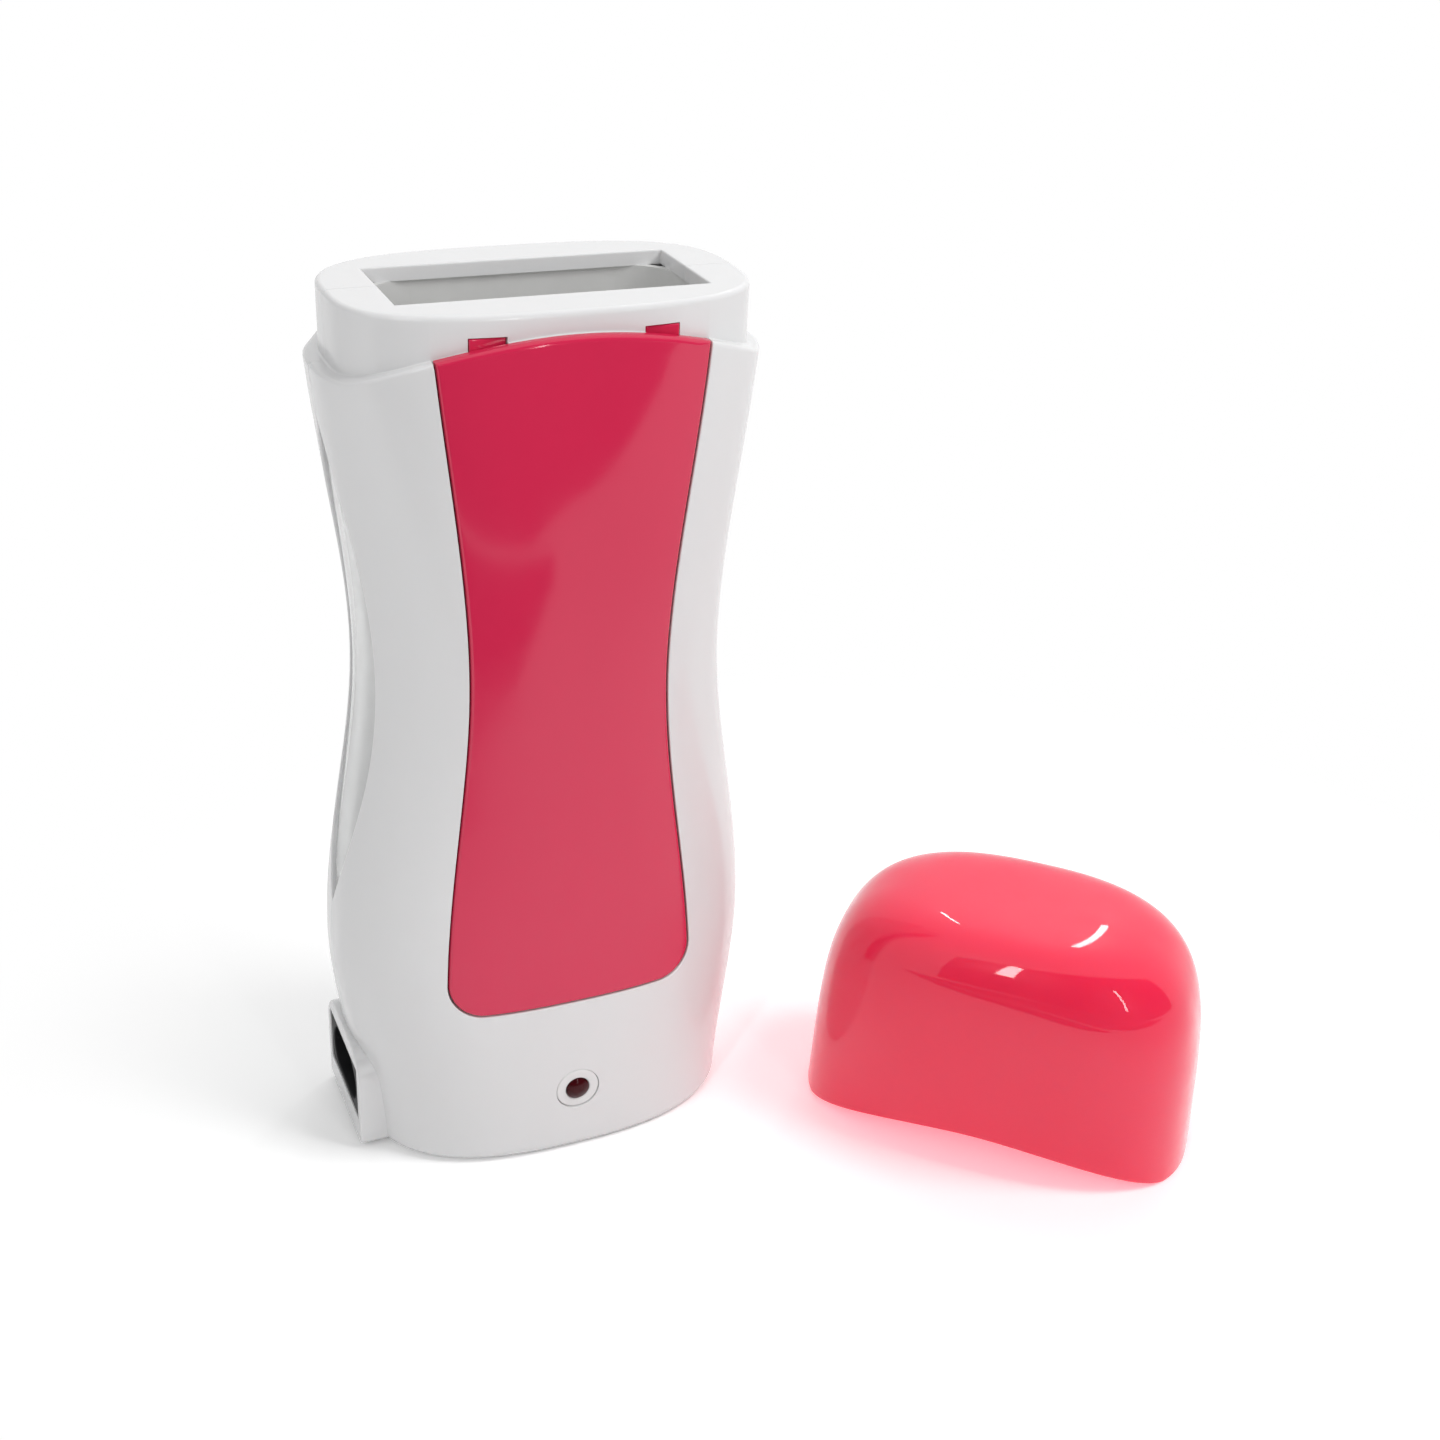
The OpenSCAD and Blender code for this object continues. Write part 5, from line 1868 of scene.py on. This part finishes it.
@dataclass
class Lamp:
    """Indicator lamp in the front: the ring and the dark lens with its low dome."""

    form: HousingForm
    size: LampSizes

    def place(self, rings: Grid) -> Grid:
        """Turns a lathed form to the front and moves it to the lamp's place."""
        face = float(self.form.half_d(self.size.middle))
        return outwards_y(rings) + np.array([0, -face, self.size.middle])

    def build_bezel(self) -> Object:
        """Makes the ring.

        Returns:
            The finished ring.
        """
        size = self.size
        face = float(self.form.half_d(size.middle))
        edge = float(self.form.half_d(size.middle + size.collar / 2))
        seat = edge - self.form.front_wall - size.room / 2
        deep = seat - face
        hole = (size.lens + size.room) / 2
        front = -size.room / 2
        outer, inner = size.outer_edge, size.inner_edge
        profile = [
            (hole, deep - size.collar_thick),
            (size.collar / 2, deep - size.collar_thick),
            (size.collar / 2, deep),
            (size.bezel / 2, deep),
            *arc(size.bezel / 2 - outer, front - outer, outer, 0, 90, size.edge_steps),
            *arc(hole + inner, front - inner, inner, 90, 180, size.edge_steps),
        ]
        maker = MeshMaker()
        maker.grid(self.place(lathe([*profile, profile[0]])), wrap=True)
        return maker.build("led_bezel_visual", 45)

    def build_lens(self) -> Object:
        """Makes the lens.

        Returns:
            The finished lens.
        """
        size = self.size
        radius = size.lens / 2
        back = -(self.form.front_wall + size.collar_thick + size.room)
        ball = (radius**2 + size.dome**2) / (2 * size.dome)
        limit = math.degrees(math.asin(radius / ball))
        dome = arc(0, size.dome - ball, ball, 90 - limit, size.dome_end, size.dome_steps)
        rings = lathe([(radius * size.tail, back), (radius, back), *dome])
        return solid(self.place(rings), "led_lens_visual", 45)


@dataclass
class Inlet:
    """Mains inlet: the black moulding with its recess, and the two pins."""

    size: InletSizes

    def place(self, points: Grid) -> Grid:
        """Turns a form to the left side and moves it to the inlet's place."""
        return outwards_x(points) + np.array([self.size.face + self.size.set_back, 0, self.size.middle])

    def build_body(self) -> Object:
        """Makes the moulding.

        Returns:
            The finished moulding.
        """
        size = self.size
        w, h = size.half
        rw, rh, deep = size.recess[0] / 2, size.recess[1] / 2, size.recess[2]
        collar = -(size.tunnel - size.set_back)
        cw, ch, ct = size.collar
        round_end = rh - size.recess_flat
        stations: list[tuple[float, float, float, float]] = [
            (w, h, size.corner, -size.length),
            (w, h, size.corner, collar - ct),
            (w + cw, h + ch, size.collar_corner, collar - ct),
            (w + cw, h + ch, size.collar_corner, collar),
            (w, h, size.corner, collar),
        ]
        turns = np.radians([0, 22, 45, 67, 90])
        for a in turns:
            less = size.edge * (1 - math.cos(a))
            stations.append((w - less, h - less, size.corner, size.edge * (math.sin(a) - 1)))
        for a in turns[::-1]:
            more = size.edge * (1 - math.cos(a))
            stations.append((rw + more, rh + more, round_end + more, size.edge * (math.sin(a) - 1)))
        for a in np.radians([0, 30, 60, 90]):
            less = size.bottom_edge * (1 - math.cos(a))
            floor = size.bottom_edge * (1 - math.sin(a)) - deep
            stations.append((rw - less, rh - less, round_end - less, floor))
        rings = []
        for x_half, y_half, radius, z in stations:
            rings.append([(x, y, z) for x, y in round_box((x_half, y_half), (radius, radius), 12)])
        obj = solid(self.place(np.array(rings)), "inlet_body_visual", 40)
        start, end = (size.face + x for x in size.pin_hole)
        for hand in Hand:
            y = hand.value * size.pin_pitch / 2
            carve(obj, rod((start, y, size.middle), (end, y, size.middle), size.pin + size.pin_room))
        steady_normals(obj)
        return obj

    def build_pins(self) -> Object:
        """Makes the two pins.

        Returns:
            The pins as one piece.
        """
        size = self.size
        radius, edge, tip = size.pin / 2, size.pin_edge, -size.pin_tip
        pole, angle = size.pin_pole
        end = (radius, -size.length - size.pin_tail)
        rings = lathe([(pole, tip), *arc(radius - edge, tip - edge, edge, angle, 0, 5), end], 48)
        maker = MeshMaker()
        for hand in Hand:
            maker.tube(self.place(rings + np.array([hand.value * size.pin_pitch / 2, 0, 0])))
        return maker.build("inlet_pins_visual", 45)


# ---- The scene ----

FINISHES = (
    MouldedPlastic(
        "white_abs",
        (0.78, 0.78, 0.785),
        roughness=0.22,
        coat=0.15,
        subsurface=0.15,
        radius=(1.0, 0.9, 0.85),
        depth=0.0008,
    ),
    MouldedPlastic("crimson_abs", (0.68, 0.022, 0.082), roughness=0.10, coat=0.05),
    ClearPlastic("clear_window", (0.985, 0.99, 0.99), roughness=0.06, transmission=0.6),
    TintedCap("pink_cap", (0.90, 0.022, 0.085)),
    MouldedPlastic("bezel_white", (0.80, 0.80, 0.80), roughness=0.18, coat=0.2),
    ClearPlastic("lens_red", (0.10, 0.006, 0.010), roughness=0.08, transmission=0.5, ior=1.28),
    ClearPlastic("lamp_epoxy", (0.55, 0.02, 0.03), roughness=0.12, transmission=0.7),
    MattePiece("board_laminate", (0.02, 0.14, 0.05), roughness=0.45, grain_scale=2400),
    MattePiece("resistor_body", (0.55, 0.37, 0.15), roughness=0.5, grain_scale=1500),
    MouldedPlastic(
        "inlet_black",
        (0.012, 0.012, 0.013),
        roughness=0.5,
        wave=0.000006,
        grain=0.000012,
        ior=1.22,
    ),
    Metal("plated_brass", (0.82, 0.80, 0.74), roughness=0.22),
    MattePiece("sleeve_white", (0.70, 0.70, 0.69), roughness=0.5, grain_scale=1400, change=0.015),
    Metal("plate_aluminium", (0.80, 0.81, 0.82), roughness=0.32, brushed=(1, 1, 0.05)),
    MattePiece("tablet_ceramic", (0.20, 0.14, 0.10), roughness=0.75, grain=0.00002, grain_scale=1200),
    Metal("electrode_metal", (0.72, 0.70, 0.66), roughness=0.4, brushed=(1, 1, 0.1)),
    ClearPlastic("amber_film", (0.75, 0.38, 0.05), roughness=0.18, transmission=0.6),
    Metal("spring_steel", (0.62, 0.62, 0.63), roughness=0.3, brushed=(0.1, 1, 1)),
    Metal("screw_steel", (0.66, 0.66, 0.67), roughness=0.28),
    MattePiece(
        "fuse_body",
        (0.70, 0.69, 0.64),
        roughness=0.4,
        grain=0.000006,
        grain_scale=1500,
        change=0.03,
    ),
    MattePiece("glass_sleeving", (0.78, 0.76, 0.68), roughness=0.8, grain=0.00003, grain_scale=2600),
    insulation("brown_insulation", (0.13, 0.045, 0.018)),
    insulation("blue_insulation", (0.02, 0.08, 0.30)),
    insulation("grey_insulation", (0.27, 0.27, 0.27)),
)

# Finishes of the inner pieces, which are shown as they were packed.
CAD_FINISHES = {
    "led_lamp": "lamp_epoxy",
    "led_board": "board_laminate",
    "dropper_resistor": "resistor_body",
    "cartridge_sleeve": "sleeve_white",
    "heater_plate": "plate_aluminium",
    "heating_tablets": "tablet_ceramic",
    "electrode_strips": "electrode_metal",
    "insulation_film": "amber_film",
    "heater_clamp": "spring_steel",
    "clamp_screws": "screw_steel",
    "thermal_fuse": "fuse_body",
    "fuse_sleeve": "glass_sleeving",
    "live_wires": "brown_insulation",
    "neutral_wire": "blue_insulation",
    "lamp_wires": "grey_insulation",
    "case_screws": "screw_steel",
}


class Dresser:
    """Gives pieces their finishes and says what they stand for."""

    def __init__(self) -> None:
        """Makes all materials."""
        self.materials = {finish.slot: finish.build() for finish in FINISHES}

    def dress(self, obj: Object, slot: str, body: Body, *nodes: str) -> None:
        """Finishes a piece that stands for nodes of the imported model.

        Args:
            obj: Piece to finish.
            slot: Material slot of the piece.
            body: Body that the piece moves with.
            nodes: Nodes that the piece stands for.
        """
        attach(obj, body.value)
        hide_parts(*nodes)
        self.paint(obj, slot)

    def dress_node(self, name: str, slot: str) -> None:
        """Finishes a node that is shown as it was packed."""
        self.paint(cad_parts[name], slot)

    def paint(self, obj: Object, slot: str) -> None:
        """Gives a piece its material and reports it.

        Args:
            obj: Piece to finish.
            slot: Material slot of the piece.
        """
        obj.data.materials.clear()
        obj.data.materials.append(self.materials[slot])
        LOG.info("%s: %s, %d faces", obj.name, slot, len(obj.data.polygons))


def seen_directly(nodes: bpy.types.Nodes, links: bpy.types.NodeLinks) -> Socket:
    """Tells camera, mirror and clear rays from the light that falls on the object.

    Args:
        nodes: Nodes of the material or world.
        links: Links of the same tree.

    Returns:
        The socket that is 1 for the rays that show the background, and 0 for light.
    """
    path = nodes.new("ShaderNodeLightPath")
    result = path.outputs["Is Camera Ray"]
    for name in ("Is Glossy Ray", "Is Transmission Ray"):
        either = nodes.new("ShaderNodeMath")
        either.operation = "MAXIMUM"
        links.new(result, either.inputs[0])
        links.new(path.outputs[name], either.inputs[1])
        result = either.outputs[0]
    return result


@dataclass(frozen=True)
class Viewpoint:
    """Camera of the photograph."""

    azimuth: float = -24.67
    elevation: float = 27.85
    roll: float = 2.92
    focal: float = 1930.9
    pixels: int = 1440
    target: Point = (35.53, 0.0, 70.37)
    distance: float = 354.3
    sensor: float = 36.0
    clip: Flat = (0.01, 20.0)

    def build(self) -> Object:
        """Makes the camera and sets the scene to look through it.

        Returns:
            The camera.
        """
        a, e, r = (math.radians(v) for v in (self.azimuth, self.elevation, self.roll))
        back = Vector((math.sin(a) * math.cos(e), -math.cos(a) * math.cos(e), math.sin(e)))
        right = Vector((math.cos(a), math.sin(a), 0))
        up = back.cross(right)
        side = math.cos(r) * right + math.sin(r) * up
        top = -math.sin(r) * right + math.cos(r) * up
        place = Matrix((side, top, back)).transposed().to_4x4()
        place.translation = (Vector(self.target) + back * self.distance) * MM
        data = bpy.data.cameras.new("camera")
        data.sensor_width = self.sensor
        data.lens = self.focal * self.sensor / self.pixels
        data.clip_start, data.clip_end = self.clip
        camera = bpy.data.objects.new("camera", data)
        camera.matrix_world = place
        bpy.context.scene.collection.objects.link(camera)
        bpy.context.scene.camera = camera
        return camera


@dataclass(frozen=True)
class Softbox:
    """Area lamp."""

    name: str
    place: Point
    target: Point
    size: Flat
    power: float
    mirrored: bool = True

    def build(self) -> None:
        """Adds the lamp to the scene."""
        data = bpy.data.lights.new(self.name, "AREA")
        data.shape = "RECTANGLE"
        data.size, data.size_y = self.size
        data.energy = self.power
        lamp = bpy.data.objects.new(self.name, data)
        lamp.location = self.place
        lamp.visible_glossy = self.mirrored
        lamp.rotation_euler = (Vector(self.target) - Vector(self.place)).to_track_quat("-Z", "Y").to_euler()
        bpy.context.scene.collection.objects.link(lamp)


class Studio:
    """White table and background, the lamps, and dark cards of painted shade round the object, in metres.

    The three large lamps light the object softly and don't show in its gloss. The four narrow
    ones make the highlights on the cap.
    """

    CAP_MIDDLE = (0.08, -0.04, 0.03)
    LAMPS = (
        Softbox("key_left", (-0.75, -0.55, 0.85), (0.03, 0, 0.07), (0.55, 0.75), 1.0, False),
        Softbox("fill_right", (0.62, -0.40, 1.00), (0.03, 0, 0.07), (0.4, 0.5), 6.3, False),
        Softbox("back_top", (0.30, 0.60, 1.00), (0.03, 0, 0.05), (0.9, 0.6), 2.6, False),
        Softbox("strip_left", (-0.59, -0.62, 0.68), CAP_MIDDLE, (0.05, 0.5), 1.3),
        Softbox("strip_front", (0.20, -1.04, 0.42), CAP_MIDDLE, (0.04, 0.55), 0.9),
        Softbox("strip_back", (0.66, 0.56, 0.78), CAP_MIDDLE, (0.03, 0.3), 0.5),
        Softbox("strip_high", (0.42, 0.72, 0.90), CAP_MIDDLE, (0.02, 0.16), 0.2),
    )
    ROOM_LIGHT = 0.38
    TABLE_HALF = 6.0
    TABLE_CENTRE = (0.06, -0.03, -0.00005)
    TABLE_COLOUR = (0.84, 0.84, 0.84)
    SEEN_GAIN = 1.44
    SHADOW_REACH = (0.09, 0.18)
    NEAR_WHITE = 0.03
    CARD_LIFT = 0.001
    # Painted shade: corners of dark cards on the table, seen only in reflections, which darken parts of the
    # panel's gloss as shaded floor would.
    FLOOR_SHADE_CARDS = (
        ((-0.75, -0.236), (0.038, -0.233), (0.50, -0.50), (0.50, -1.1), (-0.75, -1.1)),
        (
            (-0.75, -0.164),
            (-0.04, -0.165),
            (0.008, -0.172),
            (0.032, -0.186),
            (0.055, -0.206),
            (0.06, -0.222),
            (-0.75, -0.222),
        ),
    )
    # Painted shade: a dark wall in front, seen only in reflections, which darkens the gloss of the object as
    # an unlit room would.
    WALL_SHADE_CARD = ((-2.5, -1.3, 0.0), (2.5, -1.3, 0.0), (2.5, -1.3, 2.3), (-2.5, -1.3, 2.3))

    def build(self) -> None:
        """Makes the floor, the background, the dark cards of painted shade and the lamps."""
        self.floor()
        self.cards()
        self.background()
        for lamp in self.LAMPS:
            lamp.build()
        bpy.context.scene.view_settings.view_transform = "Standard"

    def floor(self) -> None:
        """Makes the white table."""
        mesh = bpy.data.meshes.new("floor")
        half = self.TABLE_HALF
        corners = [(x * half, y * half, 0) for x, y in ((-1, -1), (1, -1), (1, 1), (-1, 1))]
        mesh.from_pydata(corners, [], [range(len(corners))])
        mesh.materials.append(self.table())
        obj = place_mesh(mesh)
        obj.location = self.TABLE_CENTRE

    def table(self) -> Material:
        """Makes the table's finish: matte where the shadow falls, and plain white farther out.

        Returns:
            The new material.
        """
        tree = NodeTree("table_white")
        seen = seen_directly(tree.nodes, tree.links)
        gain = tree.add("Mix", data_type="RGBA")
        factor, lit, shown, colour = gain.inputs[0], gain.inputs[6], gain.inputs[7], gain.outputs[2]
        lit.default_value = (*self.TABLE_COLOUR, 1)
        shown.default_value = (*[c * self.SEEN_GAIN for c in self.TABLE_COLOUR], 1)
        tree.links.new(seen, factor)
        cloth = tree.add("BsdfDiffuse")
        tree.links.new(colour, cloth.inputs["Color"])
        far = tree.add("VectorMath", operation="LENGTH")
        tree.links.new(tree.place, far.inputs[0])
        ramp = tree.add("MapRange", interpolation_type="SMOOTHSTEP")
        for name, value in zip(("From Min", "From Max", "To Min"), (*self.SHADOW_REACH, self.NEAR_WHITE)):
            ramp.inputs[name].default_value = value
        tree.links.new(far.outputs["Value"], ramp.inputs["Value"])
        share = tree.add("Math", operation="MULTIPLY")
        tree.links.new(ramp.outputs["Result"], share.inputs[0])
        tree.links.new(seen, share.inputs[1])
        white, mix = tree.add("Emission"), tree.add("MixShader")
        tree.links.new(share.outputs[0], mix.inputs[0])
        tree.links.new(cloth.outputs[0], mix.inputs[1])
        tree.links.new(white.outputs[0], mix.inputs[2])
        tree.links.new(mix.outputs[0], tree.output.inputs["Surface"])
        return tree.material

    def cards(self) -> None:
        """Sets up dark cards of painted shade in front, which only show as reflections in the gloss of the
        object: the floor cards stand in for shaded floor, the wall card for an unlit room.
        """
        # Near-black colour of the painted shade cards, which show only in the gloss of the object.
        tree = NodeTree("painted_shade_card")
        tree.tint(tree.noise(scale=30, detail=2), (0.02, 0.02, 0.02), 0.1)
        tree.set(Roughness=0.8)
        flat = [[(x, y, self.CARD_LIFT) for x, y in corners] for corners in self.FLOOR_SHADE_CARDS]
        for corners in (*flat, self.WALL_SHADE_CARD):
            mesh = bpy.data.meshes.new("painted_shade_sheet")
            mesh.from_pydata(corners, [], [range(len(corners))])
            mesh.materials.append(tree.material)
            obj = place_mesh(mesh)
            obj.visible_camera = obj.visible_diffuse = obj.visible_shadow = obj.visible_transmission = False

    def background(self) -> None:
        """Makes the world: plain white where it is seen, and softer as a lamp."""
        world = bpy.data.worlds.new("white_room")
        bpy.context.scene.world = world
        world.use_nodes = True
        nodes, links = world.node_tree.nodes, world.node_tree.links
        ramp = nodes.new("ShaderNodeMapRange")
        ramp.inputs["To Min"].default_value = self.ROOM_LIGHT
        ramp.inputs["To Max"].default_value = 1.0
        links.new(seen_directly(nodes, links), ramp.inputs["Value"])
        links.new(ramp.outputs["Result"], nodes["Background"].inputs["Strength"])
        nodes["Background"].inputs["Color"].default_value = (1, 1, 1, 1)


def main() -> None:
    """Builds the pieces in order, then the scene round them."""
    logging.basicConfig(level=logging.INFO, format="%(name)s: %(message)s")
    form, leaf, panel = HousingForm(), Leaf(), PanelOutline()
    inlet, lamp = InletSizes(), LampSizes()
    dresser = Dresser()
    housing = Housing(form, leaf, panel, inlet, lamp)
    dresser.dress(housing.build_half(Half.FRONT), "white_abs", Body.HEATER, "front_shell")
    dresser.dress(housing.build_half(Half.REAR), "white_abs", Body.HEATER, "rear_shell")
    dresser.dress(FrontPanel(form, panel).build(), "crimson_abs", Body.HEATER, "front_panel")
    for hand in Hand:
        pane = Pane(form, leaf, hand).build()
        dresser.dress(pane, "clear_window", Body.HEATER, f"window_{hand.name.lower()}")
    dresser.dress(Cap(form).build(), "pink_cap", Body.CAP, "cap")
    lamp_maker = Lamp(form, lamp)
    dresser.dress(lamp_maker.build_bezel(), "bezel_white", Body.HEATER, "led_bezel")
    dresser.dress(lamp_maker.build_lens(), "lens_red", Body.HEATER, "led_lens")
    inlet_maker = Inlet(inlet)
    dresser.dress(inlet_maker.build_body(), "inlet_black", Body.HEATER, "inlet_body")
    dresser.dress(inlet_maker.build_pins(), "plated_brass", Body.HEATER, "inlet_pins")
    for name, slot in CAD_FINISHES.items():
        dresser.dress_node(name, slot)
    Studio().build()
    Viewpoint().build()
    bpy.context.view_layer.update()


if __name__ == "__main__":
    main()
